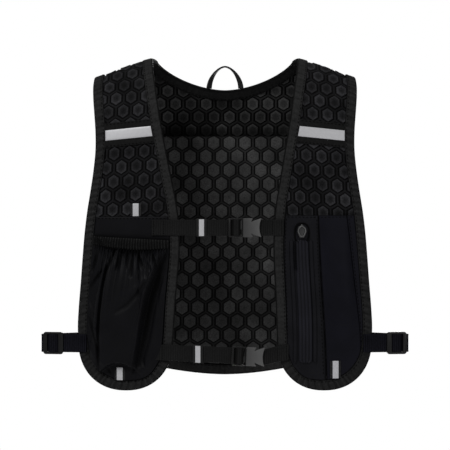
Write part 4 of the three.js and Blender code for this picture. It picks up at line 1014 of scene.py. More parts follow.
def stitchRun(path, out, pitch, reach, thick):
    # a short round thread at each place along the path: five rings of five, bowed up in the middle
    length = runAlong(path)
    count = max(int(length[-1] / pitch), 1)
    at = (np.arange(count) + 0.5) * length[-1] / count
    centre = readAt(at, length, path)
    along = unit(readAt(at + 0.4, length, path) - readAt(at - 0.4, length, path))
    up = unit(readAt(at, length, out))
    beside = np.cross(along, up)
    station = np.linspace(-1, 1, 5)
    radius = thick / 2 * np.sqrt(1.05 - station ** 4)
    turn = np.arange(5) * 2 * np.pi / 5
    bow = thick * 0.35 * (1 - station ** 2)
    place = (centre[:, None, None] + along[:, None, None] * (station * reach / 2)[None, :, None, None]
             + up[:, None, None] * (bow[:, None] + radius[:, None] * np.cos(turn))[None, ..., None]
             + beside[:, None, None] * (radius[:, None] * np.sin(turn))[None, ..., None])
    i = np.arange(25).reshape(5, 5)
    sides = np.stack([i[:-1], np.roll(i[:-1], -1, 1), np.roll(i[1:], -1, 1), i[1:]], -1).reshape(-1, 4)
    caps = np.array([[4, 3, 2, 1, 0], [20, 21, 22, 23, 24]])
    starts = (np.arange(count) * 25)[:, None, None]
    faces = [(sides[None] + starts).reshape(-1, 4), (caps[None] + starts).reshape(-1, 5)]
    return Solid(place, faces)


def stitchesOn(lines, side, lifts):
    # stitches along (x, q) lines, standing on the cloth at each lift, on the outer or the inner face
    solids = []
    for line in lines:
        x, q = side * line[:, 0], line[:, 1]
        for lift in lifts:
            out = outwardAt(x, q) * np.sign(lift)
            solids.append(stitchRun(onBody(x, q, lift + 0 * x), out, tapeFold["stitchPitch"],
                                    tapeFold["stitchLength"], tapeFold["stitchThick"]))
    return solids[0].joined(solids[1:])


def makeBindings():
    edges = {
        "front_binding_bottle_side": (frontOutline("bottle"), -1, 1),
        "front_binding_zip_side": (frontOutline("zip"), 1, 1),
        "back_binding": (backOutline(), 1, -1),
        "neck_binding": (neckline(), 1, -1),
    }
    for node, (line, side, sign) in edges.items():
        # the neck binding takes the darker knit, painted shade
        knit = neckKnit if node == "neck_binding" else bindingKnit
        tape = addPiece("folded_" + node, foldedTape(line, side, sign), knit, "binding", [node], 50)
        asStrip(lengthOfPath(line), 2 * layers["binding"] + 2)
        stitched = movedIn(line, tapeFold["stitchIn"])
        threads = stitchesOn([stitched], side, [tapeFold["stitchLift"], -tapeFold["stitchLift"]])
        addPiece("stitching_" + node, threads, threadBlack, "binding", (), 60)


makeBindings()
print("bindings ready")


# Chest bands with their reflective strips
chestBand = {"drop": 96.1, "slope": 0.1, "height": 30, "stripHeight": 12.6}


def bandGrid(column, height, trim, downs, acrosses):
    # straight edges in the front view, from binding to binding
    left, _, right = insideEdges(column, trim)
    middle = (cut["armHalf"] + cut["neckHalf"]) / 2
    rows = []
    for share in downs:
        def edge(x, share=share):
            level = torso["ridgeHeight"] - chestBand["drop"] + chestBand["slope"] * (middle - x)
            return level + height * (0.5 - share)
        start, end = crossingOf(left, edge)[0][0], crossingOf(right, edge)[0][0]
        x = start + (end - start) * acrosses
        rows.append(frontPoints(x, edge(x)))
    return np.stack(rows)


def makeChestBands():
    downs, acrosses = edgedShares(8, 0.04), edgedShares(24, 0.012)
    for name, side in (("bottle", -1), ("zip", 1)):
        clearance = layers["clearance"]
        grid = bandGrid(name, chestBand["height"], -1.5, downs, acrosses)
        rims = rimOf(downs, 0.04), rimOf(acrosses, 0.012)
        solid = clothPiece(grid, side, seatLift, layers["tape"], 0.0, *rims)
        band = addPiece(f"band_{name}_side", solid, bandKnit, "webbing", [f"chest_band_{name}_side"])
        middle = grid[len(downs) // 2]
        asStrip(lengthOfPath(middle), chestBand["height"])
        strip = bandGrid(name, chestBand["stripHeight"], clearance, downs, acrosses)
        low = seatLift + layers["tape"] + clearance / 2
        solid = clothPiece(strip, side, low, layers["strip"], 0.0, *rims)
        addPiece(f"band_strip_{name}_side", solid, silverStrip, "reflective", [f"chest_strip_{name}_side"])
        rows = bandGrid(name, chestBand["height"], 0.5, (0.06, 0.94), np.linspace(0, 1, 60))
        threads = stitchesOn(rows, side, [seatLift + layers["tape"]])
        addPiece(f"band_stitching_{name}_side", threads, threadBlack, "webbing", (), 60)


makeChestBands()
print("chest bands ready")


# Bottle pocket. Rows as in the frame: folds that bound its bulge, as shares of the width, and share of
# the bulge.
pouch = {
    "down": [0, 0.1, 0.24, 0.4, 0.56, 0.7, 0.81, 0.91, 1],
    "inner": [0.02, 0.03, 0.12, 0.25, 0.3, 0.335, 0.35, 0.37, 0.38],
    "outer": [0.95, 0.8, 0.81, 0.82, 0.83, 0.82, 0.83, 0.85, 0.86],
    "bulge": [0.4, 0.5, 0.82, 0.98, 1, 0.86, 0.66, 0.5, 0.45],
    "backingDrop": 199.4, "mouthDrop": 226.7, "mouthSlope": 0.055, "height": 19, "squareness": 2.8,
    "elasticHeight": 14, "elasticThick": 1.9, "ribs": 29, "ribDepth": 2.2, "stepsPerRib": 10,
    "base": 3.6, "gatherDepth": 2.2, "gatherReach": 11, "foldDepth": 3.6, "foldReach": 46,
    "archMiddle": -131, "archTop": -372.5, "archHalf": 21, "archDrop": 9.5, "archSoft": 2.2,
}
# creases: points as (x, height) in the front view, width, height, and how much wider the side to their
# right is
creases = [
    ([(-134, -231), (-144, -258), (-147.5, -277), (-150.8, -308), (-153.5, -340), (-155, -380)],
     2.3, -6.0, 0.6),
    ([(-129, -231), (-139, -258), (-142, -277), (-145, -308), (-147.5, -340), (-149, -378)], 3.4, 1.8, 1.4),
    ([(-79, -234), (-88, -257), (-97.5, -284), (-104, -320), (-108, -345), (-115, -374)], 2.4, 3.6, 0.8),
    ([(-75, -240), (-82, -262), (-89, -284), (-95, -310), (-100, -340), (-108, -372)], 4.2, -8.0, 1.5),
    ([(-96, -270), (-106, -285), (-118, -298), (-130, -306)], 2.2, -2.0, 1.6),
    ([(-84, -260), (-96, -267), (-108, -281)], 4.0, 1.8, 1.0),
    ([(-89, -234), (-82, -254)], 1.7, -3.4, 1.0),
    ([(-97, -236), (-87, -254)], 2.4, 2.0, 1.0),
    ([(-150, -256), (-160, -267), (-168, -279)], 2.2, -3.0, 1.0),
    ([(-157, -234), (-165, -257)], 1.9, -2.6, 1.0),
    ([(-171, -292), (-161, -318), (-152.6, -337)], 2.0, 1.8, 1.0),
    ([(-169, -315), (-160, -338), (-154, -356)], 2.4, -2.6, 1.0),
    ([(-112.4, -234), (-113.5, -262)], 1.8, -3.0, 1.0),
    ([(-126, -233), (-130, -254)], 1.7, -2.6, 1.0),
    ([(-118.4, -233), (-117, -252)], 1.5, -2.4, 1.0),
    ([(-107.4, -233), (-99, -252)], 1.8, -3.0, 1.0),
    ([(-146, -378), (-140, -388)], 1.6, -2.0, 1.0),
    ([(-112, -376), (-116, -388)], 1.6, -2.0, 1.0),
    ([(-104, -362), (-100, -376)], 1.6, -1.6, 1.0),
]


def creaseHeight(x, z):
    # each crease has a bell-shaped section, wider or narrower on one side, fading at its ends; the second
    # result is how deep in a valley the point lies, which the pouch paints as shade
    total, valley = 0 * x, 0 * x
    for points, width, height, far in creases:
        line = np.array(points, float)
        best, signed, share = np.full(x.shape, 1e9), 0 * x, 0 * x
        for k in range(len(line) - 1):
            run = line[k + 1] - line[k]
            size = np.hypot(*run)
            t = np.clip(((x - line[k, 0]) * run[0] + (z - line[k, 1]) * run[1]) / size ** 2, 0, 1)
            dx, dz = x - line[k, 0] - t * run[0], z - line[k, 1] - t * run[1]
            distance = np.hypot(dx, dz)
            closer = distance < best
            best = np.where(closer, distance, best)
            signed = np.where(closer, np.sign(run[0] * dz - run[1] * dx), signed)
            share = np.where(closer, (k + t) / (len(line) - 1), share)
        reach = np.where(signed > 0, width * far, width)
        bell = np.exp(-(best / reach) ** 2) * np.sin(np.pi * np.clip(share * 0.8 + 0.12, 0, 1)) ** 0.6
        total = total + 1.25 * height * bell
        valley = np.maximum(valley, bell * np.clip(-height / 3.4, 0, 1))
    return total, valley


def mouthLevel(x):
    # the pouch's mouth rises a little towards the side
    middle = (cut["armHalf"] + cut["openingHalf"]) / 2
    return torso["ridgeHeight"] - pouch["mouthDrop"] + pouch["mouthSlope"] * (np.abs(x) - middle)


def cutOutline(area):
    # once round the four edges of an area
    return np.vstack([area["top"], area["right"], area["bottom"][::-1], area["left"][::-1]])


def pouchBulge(down, across):
    # a flat-topped arch, a super-ellipse between the two folds of that row
    curves = (curveThrough(down, pouch["down"], pouch[key]) for key in ("inner", "outer", "bulge"))
    inner, outer, bulge = curves
    share = np.clip((across - inner) / (outer - inner), 0, 1)
    power = pouch["squareness"]
    return pouch["height"] * np.clip(bulge, 0, 1) * (1 - np.abs(2 * share - 1) ** power) ** (1 / power)


def archStep(x, z):
    # one above the arched lower edge of the bulge and nought below it
    edge = pouch["archTop"] - pouch["archDrop"] * ((x - pouch["archMiddle"]) / pouch["archHalf"]) ** 2
    t = np.clip((z - edge) / pouch["archSoft"], 0, 1)
    return t * t * (3 - 2 * t)


def gathers(across, depth):
    # close pleats under the elastic, and longer folds with sharp valleys that fan out below them; the second
    # result, how deep in a valley, is painted shade
    small = np.cos(2 * np.pi * pouch["ribs"] * across) * np.exp(-(depth / pouch["gatherReach"]) ** 1.2)
    fanned = across + 0.02 * np.sin(2 * np.pi * 2.3 * across + 0.7 + depth / 40)
    broad = np.abs(np.sin(np.pi * 8.4 * fanned)) ** 0.7
    broad = broad + 0.5 * np.abs(np.sin(np.pi * 13.3 * fanned + 0.9)) ** 0.7
    fade = np.exp(-(depth / pouch["foldReach"]) ** 1.5) * (1 - np.exp(-depth / 7))
    valley = np.clip(0.75 - broad, 0, 1) * fade
    return pouch["gatherDepth"] * small + pouch["foldDepth"] * (broad - 0.95) * fade, valley


def elasticShare(area):
    # the elastic's height as a share of the pocket's
    start = heightAt(*area["left"][0])
    return pouch["elasticHeight"] / (start - (torso["ridgeHeight"] - bodyDrop + layers["binding"]))


def makePouch(area, start):
    downs = np.concatenate([np.linspace(start * 0.9, 0.3, 50), np.linspace(0.3, 1, 90)[1:]])
    acrosses = edgedShares(190, 0.004)
    grid = patchOf(area, downs, acrosses)
    down, across = np.broadcast_arrays(downs[:, None], acrosses[None])
    z = heightAt(grid[..., 0], grid[..., 1])
    depth = (down - start) * 170
    pinned = np.sin(np.pi * np.clip(across, 0, 1)) ** 0.35 * np.clip((1 - down) * 12, 0, 1)
    creased, valley = creaseHeight(-grid[..., 0], z)
    gathered, dip = gathers(across, np.maximum(depth, 0))
    base = pouch["base"] * pinned * (1 - np.exp(-np.maximum(depth, 0) / 6))
    lift = (pouchBulge(down, across) + base) * (0.12 + 0.88 * archStep(-grid[..., 0], z))
    lift = np.maximum(lift + (creased + gathered) * pinned, 0.1)
    # painted shade in the crease and fold valleys and just under the elastic
    dark = np.clip(valley + 1.6 * dip + 0.8 * np.exp(-np.maximum(depth, 0) / 2.5), 0, 1)
    solid = clothPiece(grid, -1, pouchLift, layers["pocket"], lift, None, None, dark)
    piece = addPiece("stretch_bottle_pocket", solid, pocketStretch, "pocket_cloth", ["bottle_pocket"], 80)
    asSheet(cutOutline(area) * [1.25, 1.0])


def makeElastic(area, start):
    acrosses = np.linspace(0, 1, pouch["ribs"] * pouch["stepsPerRib"] + 1)
    downs = np.linspace(0, start, 9)
    grid = patchOf(area, downs, acrosses)
    lift = pouchBulge(downs[:, None], acrosses[None])
    rib = np.abs(np.cos(np.pi * pouch["ribs"] * acrosses))[None] ** 0.7
    swell = np.sin(np.pi * np.clip(downs / start, 0.02, 0.98))[:, None] ** 0.4
    thick = pouch["elasticThick"] * (0.55 + 0.45 * swell) + pouch["ribDepth"] * (1 - rib) * swell
    x, q = -grid[..., 0], grid[..., 1]
    top, bottom = onBody(x, q, pouchLift + lift + thick), onBody(x, q, pouchLift + lift)
    # the plate value is painted shade in the gaps between the ribs
    solid = shellOf(top, bottom, np.stack([x, q, 0 * x], -1), np.clip(rib * 1.6 - 0.35, 0, 1) + 0 * x)
    elastic = addPiece("gathered_elastic", solid, elasticKnit, "pocket_cloth", ["pocket_elastic"], 80)
    asStrip(1.5 * lengthOfPath(grid[4]), pouch["elasticHeight"])


def makeBacking():
    level = levelEdge(torso["ridgeHeight"] - pouch["backingDrop"])
    backing = lowerFront("bottle", level, layers["clearance"])
    downs, acrosses = edgedShares(60, 0.006), edgedShares(40, 0.01)
    grid = patchOf(backing, downs, acrosses)
    above = heightAt(grid[..., 0], grid[..., 1]) - mouthLevel(grid[..., 0])
    # painted shadow in a thin band just above the pouch's mouth
    dark = np.clip(1 - above / 4.5, 0, 1)
    solid = clothPiece(grid, -1, seatLift, layers["pocket"], 0.0, rimOf(downs, 0.006),
                       rimOf(acrosses, 0.01), dark)
    node = "bottle_pocket_backing"
    piece = addPiece("stretch_pocket_backing", solid, pocketStretch, "pocket_cloth", [node])
    asSheet(cutOutline(backing))
    hem = patchOf(backing, [0.012], np.linspace(0.02, 0.98, 60))[0]
    threads = stitchesOn([hem], -1, [seatLift + layers["pocket"]])
    addPiece("pocket_backing_stitching", threads, threadBlack, "pocket_cloth", (), 60)


bottleArea = lowerFront("bottle", mouthLevel, layers["clearance"])
makePouch(bottleArea, elasticShare(bottleArea))
makeElastic(bottleArea, elasticShare(bottleArea))
makeBacking()
print("bottle pocket ready")


# Zipped pocket: placket with the zipper, bulging front, side gusset
zipPocket = {
    "drop": 197.7, "bulge": 5, "bulgeEnd": 0.84,
    "pieces": {"zip_placket": (0, 0.477, 0), "zip_pocket_front": (0.477, 0.895, 1),
               "zip_pocket_gusset": (0.895, 1, 0)},
    "zipperStart": 0.15, "zipperEnd": 0.335, "zipperDrop": 228.6, "zipperLength": 153, "endNarrow": 0.4,
    "seams": (0.02, 0.45, 0.92), "toothPitch": 2.2, "sliderMoved": -4.0,
}


def onZip(across, z):
    # straight across from the opening's edge to the side's at that height
    left, _, right = insideEdges("zip", layers["clearance"])
    lowest = max(heightAt(*left[-1]), heightAt(*right[-1])) + layers["clearance"]
    level = max(z, lowest)
    start, end = (crossingOf(line, levelEdge(level))[0][0] for line in (left, right))
    return start + (end - start) * across


def makeZipPocket():
    area = lowerFront("zip", levelEdge(torso["ridgeHeight"] - zipPocket["drop"]), layers["clearance"])
    wide = cut["hipHalf"] - cut["openingHalf"] - 2 * layers["binding"]
    gap = layers["clearance"] / 2 / wide
    for node, (start, end, bulging) in zipPocket["pieces"].items():
        low, high = start + gap * (start > 0), end - gap * (end < 1)
        downs = edgedShares(90, 0.005)
        margin = 0.03 if bulging else 0.05
        inside = edgedShares(max(int(90 * (end - start)), 8), margin)
        grid = patchOf(area, downs, low + (high - low) * inside)
        down, across = np.minimum(1, downs / zipPocket["bulgeEnd"])[:, None], inside[None]
        arch = zipPocket["bulge"] * bulging * np.sin(np.pi * down) * np.sin(np.pi * across) ** 0.7
        ripple = 0.35 * np.sin(9 * across + 3 * down) * np.sin(np.pi * down) * bulging
        seamed = np.maximum(1 - np.minimum(inside, 1 - inside)[None] / margin, 1 - downs[:, None] / 0.005)
        solid = clothPiece(grid, 1, seatLift, layers["pocket"], arch + ripple, rimOf(downs, 0.005),
                           rimOf(inside, margin), np.clip(seamed, 0, 1))
        material = placketCloth if node == "zip_placket" else zipStretch
        slot = "zip_cloth" if bulging else "pocket_cloth"
        piece = addPiece("stretch_" + node, solid, material, slot, [node])
        edge = np.vstack([grid[0], grid[1:, -1], grid[-1, -2::-1], grid[-2:0:-1, 0]])
        asSheet(edge)
    downs = np.linspace(0.02, 0.97, 80)
    seams = [patchOf(area, downs, np.array([share]))[:, 0] for share in zipPocket["seams"]]
    hem = patchOf(area, [0.012], np.linspace(0.02, 0.98, 60))[0]
    threads = stitchesOn(seams + [hem], 1, [seatLift + layers["pocket"]])
    addPiece("zip_pocket_stitching", threads, threadBlack, "pocket_cloth", (), 60)


def zipperStrip(low, start, end, columns, profile):
    # a strip between two shares of the pocket's width, straight down and narrower at its ends, its section
    # given by a function of the share
    z = torso["ridgeHeight"] - zipPocket["zipperDrop"] - zipPocket["zipperLength"] * np.linspace(0, 1, 80)
    shares = edgedShares(columns, 0.04)
    x = np.array([[onZip(start + (end - start) * share, level) for share in (0, 1)] for level in z])
    fromMiddle = np.abs(np.linspace(-1, 1, 80))[:, None]
    narrow = 1 - zipPocket["endNarrow"] * np.clip(fromMiddle * 25 - 24, 0, 1) ** 2
    x = x.mean(1, keepdims=True) + (x[:, 1:] - x[:, :1]) * (shares - 0.5) * narrow
    grid = frontPoints(x, z[:, None])
    lift, dark = profile(shares)
    return clothPiece(grid, 1, low, layers["tape"], lift[None] + 0 * x, None, rimOf(shares, 0.04),
                      dark[None] + 0 * x), grid


def tapeSection(share):
    # bowed, with four cords side by side, and painted shade in the grooves between them
    cords = np.cos(2 * np.pi * 4 * share)
    return 0.5 * np.sin(np.pi * share) - 0.35 * cords, np.clip(cords, 0, 1) * 0.7


def weltSection(share):
    # half a sine, dark along both edges
    return 0.9 * np.sin(np.pi * share), np.clip(1 - np.minimum(share, 1 - share) * 5, 0, 1) * 0.8


def zipperCoil(column, length):
    # two staggered rows of small coil turns beside the tape
    path = column[:int(len(column) * length)]
    x, q = path[:, 0], path[:, 1]
    low = pouchLift + layers["tape"]
    solids = []
    for offset, shift in ((-1.1, 0.0), (0.4, zipPocket["toothPitch"] / 2)):
        line = onBody(x + offset, q + shift, low + 1.2 + 0 * x)
        solids.append(stitchRun(line, outwardAt(x, q), zipPocket["toothPitch"], 1.3, 1.6))
    return solids[0].joined(solids[1:])


ring = {"x": 95.5, "z": -209.6, "halfWidth": 9.0, "halfHeight": 12.4, "thick": 0.9}


def garageRing():
    # an oval bead round the slider: a circle carried round a super-ellipse
    turn = np.linspace(0, 2 * np.pi, 72, endpoint=False)[:, None]
    around = (np.arange(8) * 2 * np.pi / 8)[None]
    radius = 1 + ring["thick"] * np.cos(around) / ring["halfWidth"]
    x = ring["x"] + ring["halfWidth"] * radius * signedPower(np.cos(turn), 2.6)
    z = ring["z"] + (ring["halfHeight"] + ring["thick"] * np.cos(around)) * signedPower(np.sin(turn), 2.6)
    lift = seatLift + layers["pocket"] + ring["thick"] * (0.7 + np.sin(around)) + 0 * x
    return tubeOf(onBody(x, frontLength(x, z), lift), True)


def makeZipper():
    low = pouchLift
    start, end = zipPocket["zipperStart"], zipPocket["zipperEnd"]
    strip, grid = zipperStrip(low, start, end, 48, tapeSection)
    tape = addPiece("zipper_strip", strip, zipperCloth, "zip_cloth", ["zipper_tape"])
    asStrip(zipPocket["zipperLength"], lengthOfPath(grid[40]))
    addPiece("zipper_coil", zipperCoil(grid[:, 0], 0.26), threadBlack, "plastic")
    welts = {"opening": (start - 0.075, start - 0.02), "pocket": (end + 0.005, end + 0.06)}
    for name, (near, far) in welts.items():
        welt, _ = zipperStrip(low - 0.3, near, far, 16, weltSection)
        addPiece(f"zipper_welt_{name}_edge", welt, placketCloth, "pocket_cloth")
    addPiece("zipper_garage_ring", garageRing(), threadBlack, "plastic", (), 60)


makeZipPocket()
makeZipper()
print("zipped pocket ready")


# Straps
chestWebbing, sideWebbing = 20, 22
straps = {
    "upper": {"drop": 213.1, "start": -91, "end": 73, "junction": 21.8, "sag": 0, "keeper": -29,
              "seat": pouchLift, "endSeat": seatLift + layers["tape"] + layers["clearance"]},
    "lower": {"drop": 368.1, "start": -92.5, "end": 79, "junction": 25.8, "sag": 5, "keeper": -33.5,
              "seat": pouchLift + layers["pocket"] + layers["clearance"],
              "endSeat": seatLift + layers["pocket"] + 2 * layers["clearance"]},
}
buckle = {
    "ladderLength": 17.8, "bar": 2.7, "window": 4.4, "cross": 6, "exit": 3.6, "ladderThick": 2.6,
    "socketLength": 23.2, "hollow": 2.4, "mouth": 1,
    "lead": 0.5, "run": 0.9, "rise": 1.2, "back": 0.3, "flatEnd": 6, "planeEnd": 4,
    "socketLead": 3, "socketFall": 8,
    "keeperWidth": 12.6, "keeperStrip": 6.4, "tailPast": 8,
}
strapRise = buckle["ladderThick"] / 2 + layers["clearance"] + layers["webbing"] / 2


tacks = {"stitch": (2.6, 2.0, 0.5), "chestHalf": 8.5, "sideHalf": 9.5, "count": 12}


def strapLevel(strap, x):
    # straight down to the buckle's far end, then straight up to the sewn end
    level = torso["ridgeHeight"] - strap["drop"]
    slope = strap["sag"] / (strap["junction"] - strap["start"])
    socketEnd = strap["junction"] + buckle["socketLength"]
    far = slope * (socketEnd - strap["start"]) * (strap["end"] - x) / (strap["end"] - socketEnd)
    return level - np.where(x <= socketEnd, slope * (x - strap["start"]), far)


def buckleAxes(strap):
    # origin, along, up and outward directions of the buckle
    x = np.array(float(strap["junction"]))
    q = frontLength(x, strapLevel(strap, x))
    out = outwardAt(x, q)
    across = unit(np.array([1.0, 0, 0]) - out * out[0])
    up = np.cross(out, across)
    tilt = -np.arctan(strap["sag"] / (strap["junction"] - strap["start"]))
    turned = across * np.cos(tilt) + up * np.sin(tilt)
    upright = np.cross(out, turned)
    lift = strap["seat"] + layers["webbing"] / 2 + strapRise
    return onBody(x, q, np.array(lift)), turned, upright, out, lift


def cornersCut(points, times):
    # each pass replaces a corner by two points a quarter of the way along its sides
    for _ in range(times):
        a, b = points[:-1], points[1:]
        between = np.stack([a * 0.75 + b * 0.25, a * 0.25 + b * 0.75], 1).reshape(-1, 2)
        points = np.vstack([points[:1], between, points[-1:]])
    return points


def webbingPlaces(strap, points):
    # (x, lift) to space: on the cloth where it lies there, in the buckle's plane near the buckle
    x, lift = points[:, 0], points[:, 1]
    level = strapLevel(strap, x)
    q = frontLength(x, level)
    lain = onBody(x, q, lift)
    up = unit(onBody(x, frontLength(x, level + 5), lift) - onBody(x, frontLength(x, level - 5), lift))
    origin, along, upright, out, middle = buckleAxes(strap)
    held = origin + (x - strap["junction"])[:, None] * along + (lift - middle)[:, None] * out
    fromJunction = x - strap["junction"]
    near = np.maximum(-fromJunction - buckle["ladderLength"], fromJunction - buckle["socketLength"])
    share = np.clip(near / buckle["planeEnd"], 0, 1)[:, None]
    return held * (1 - share) + lain * share, unit(upright * (1 - share) + up * share)


def ribbon(centre, up, width, thick, windows=()):
    # a flat band with rounded selvedges carried along its middle line, with painted shade where it runs
    # through a window of the buckle
    length = runAlong(centre)
    fine = np.linspace(0, length[-1], max(int(length[-1] / 1.2), 12))
    centre, up = readAt(fine, length, centre), unit(readAt(fine, length, up))
    out = unit(np.cross(np.gradient(centre, axis=0), up))
    half, edge = width / 2, thick / 2
    profile = np.array([(-half, 0), (-half + 0.3 * edge, 0.8 * edge), (-half + edge, edge),
                        (-half + 1.6, edge * 1.05), (-half + 2.2, edge * 0.86), (0, edge * 0.9),
                        (half - 2.2, edge * 0.86), (half - 1.6, edge * 1.05), (half - edge, edge),
                        (half - 0.3 * edge, 0.8 * edge), (half, 0)])
    profile = np.vstack([profile, profile[-2:0:-1] * [1, -1]])
    rings = centre[:, None] + up[:, None] * profile[None, :, :1] + out[:, None] * profile[None, :, 1:]
    cloth = np.stack(np.broadcast_arrays(fine[:, None], profile[None, :, 0], 0.0), -1)
    dark = 0 * fine
    for low, high in windows:
        dark = np.maximum(dark, 1.0 * ((centre[:, 0] > low - 0.3) & (centre[:, 0] < high + 0.3)))
    return tubeOf(rings, False, cloth, dark[:, None] + 0 * profile[None, :, 0])


def ladderedPoints(strap):
    # behind the first bar, over the middle bar, back behind it, and along to the tail past the keeper
    seat, b = strap["seat"], buckle
    run = seat + layers["webbing"] / 2
    over, tail = run + 2 * strapRise, run - layers["webbing"] - layers["clearance"]
    left = strap["junction"] - b["ladderLength"]
    cross = left + b["bar"] + b["window"]
    fall = cross + b["cross"] + b["run"]
    tailEnd = strap["keeper"] - b["keeperWidth"] / 2 - b["tailPast"]
    lie = [(x, run) for x in np.linspace(strap["start"], left - b["flatEnd"], 9)]
    bend = [(left + b["bar"] + b["lead"], run), (cross - b["lead"], over), (fall, over),
            (fall + b["run"], tail + b["rise"]), (fall - b["back"], tail), (left - b["flatEnd"], tail),
            (strap["keeper"], tail), (tailEnd, tail)]
    return np.array(lie + bend)


def socketPoints(strap):
    # out of the socket, down to the cloth and along to the sewn end
    b = buckle
    start = strap["junction"] + b["socketLength"] - b["hollow"] - b["mouth"] + layers["clearance"]
    middle = strap["seat"] + layers["webbing"] / 2 + strapRise
    run = strap["endSeat"] + layers["webbing"] / 2
    level = start + b["hollow"] + b["socketLead"]
    down = level + b["socketFall"]
    half = (down + strap["end"]) / 2
    return np.array([(start, middle), (level, middle), (down, run), (half, run), (strap["end"], run)])


def dressedCopy(node, bevel, moved=0.0):
    # a copy of the node's solid with its flat faces joined up and its edges rounded, moved across if asked
    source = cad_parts[node]
    mesh = source.data.copy()
    shape = bmesh.new()
    shape.from_mesh(mesh)
    bmesh.ops.remove_doubles(shape, verts=shape.verts, dist=1e-5)
    bmesh.ops.dissolve_limit(shape, angle_limit=np.radians(1), verts=shape.verts, edges=shape.edges)
    bmesh.ops.translate(shape, vec=Vector((moved / 1000, 0, 0)), verts=shape.verts)
    shape.to_mesh(mesh)
    shape.free()
    mesh.materials.clear()
    piece = bpy.data.objects.new("moulded_" + node, mesh)
    bpy.context.scene.collection.objects.link(piece)
    rounding = piece.modifiers.new("edges", "BEVEL")
    rounding.width = bevel / 1000
    rounding.segments = 3
    rounding.limit_method = "ANGLE"
    rounding.angle_limit = np.radians(28)
    rounding.harden_normals = True
    for polygon in mesh.polygons:
        polygon.use_smooth = True
    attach(piece, "root")
    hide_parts(node)
    return piece


def tackRow(x, z, lift):
    # short stitches up one line across the webbing
    at = x + 0 * z
    q = frontLength(at, z)
    return stitchRun(onBody(at, q, lift + 0 * at), outwardAt(at, q), *tacks["stitch"])


def keeperLoop(strap):
    # a tape wound once round both layers of webbing
    seat, b = strap["seat"], buckle
    low = seat - 2 * layers["clearance"] - layers["webbing"]
    high = seat + layers["webbing"] + layers["clearance"]
    half, thick = chestWebbing / 2 + layers["clearance"], layers["tape"]
    turn = np.linspace(0, 2 * np.pi, 64, endpoint=False)
    up = (half + thick / 2) * signedPower(np.sin(turn), 12)
    lift = (low + high) / 2 + ((high - low + thick) / 2) * signedPower(np.cos(turn), 4)
    across = np.array([-1, -0.94, 0.94, 1]) * b["keeperWidth"] / 2
    rings = []
    for step, grow in [(0, 0.3), (1, 1), (2, 1), (3, 0.3), (3, -0.3), (2, -1), (1, -1), (0, -0.3)]:
        x = strap["keeper"] + across[step] + 0 * turn
        z = strapLevel(strap, x) + up + np.sin(turn) * grow * thick / 2
        rings.append(onBody(x, frontLength(x, z), lift + np.cos(turn) * grow * thick / 2))
    return tubeOf(np.stack(rings, 1), True)


def makeStrapWebbing(name, strap):
    # the length through the ladder, with painted shade in its two windows, and the length sewn to the socket
    left = strap["junction"] - buckle["ladderLength"] + buckle["bar"]
    second = left + buckle["window"] + buckle["cross"]
    windows = [(left, left + buckle["window"]), (second, second + buckle["exit"] + 1)]
    for end, points, dark in (("bottle", ladderedPoints(strap), windows), ("zip", socketPoints(strap), ())):
        centre, up = webbingPlaces(strap, cornersCut(points, 3))
        solid = ribbon(centre, up, chestWebbing, layers["webbing"], dark)
        node = f"{name}_strap_{end}_side"
        strip = addPiece(f"webbing_{name}_{end}_side", solid, strapWeave, "webbing", [node])
        asStrip(lengthOfPath(centre), chestWebbing)


def makeKeeper(name, strap):
    addPiece(f"keeper_loop_{name}", keeperLoop(strap), bindingKnit, "webbing", [f"{name}_keeper"], 60)
    acrosses = edgedShares(6, 0.1)
    x = (strap["keeper"] + buckle["keeperStrip"] * (acrosses - 0.5))[None]
    rise = (chestWebbing / 2 + layers["clearance"]) * np.linspace(1, -1, 24)
    grid = frontPoints(x, strapLevel(strap, x) + rise[:, None])
    low = strap["seat"] + layers["webbing"] + 1.5 * layers["clearance"] + layers["tape"]
    solid = clothPiece(grid, 1, low, layers["strip"], 0.0, None, rimOf(acrosses, 0.1))
    addPiece(f"keeper_reflector_{name}", solid, silverStrip, "reflective", [f"{name}_keeper_strip"])


def makeStrapTacks(name, strap):
    # two rows of stitches at each sewn end
    rise = np.linspace(-tacks["chestHalf"], tacks["chestHalf"], tacks["count"])
    places = ((strap["start"] + 2.5, strap["seat"]), (strap["start"] + 15, strap["seat"]),
              (strap["end"] - 2.5, strap["endSeat"]), (strap["end"] - 14, strap["endSeat"]))
    runs = [tackRow(x, strapLevel(strap, np.array(x)) + rise, seat + layers["webbing"]) for x, seat in places]
    addPiece(f"strap_tacks_{name}", runs[0].joined(runs[1:]), threadBlack, "webbing", (), 60)


def makeChestStraps():
    for name, strap in straps.items():
        makeStrapWebbing(name, strap)
        for half, plastic in (("ladder", ladderPlastic), ("socket", bucklePlastic)):
            dressedCopy(f"{name}_buckle_{half}", 0.7).data.materials.append(plastic)
        makeKeeper(name, strap)
        makeStrapTacks(name, strap)


makeChestStraps()
print("chest straps ready")


# Side straps through their ladder locks, seen from above as a path of (x, y)
lock = {"drop": cut["frontDrop"] + 4.2, "length": 27, "inner": 6.6, "rise": 4.4, "middle": 6.4, "thick": 2.6,
        "reach": 202.4, "turnReach": 4, "turnRadius": 2.4, "lead": 0.5, "run": 0.9, "fall": 1.4,
        "past": 1, "ease": 3, "snug": 0.8}


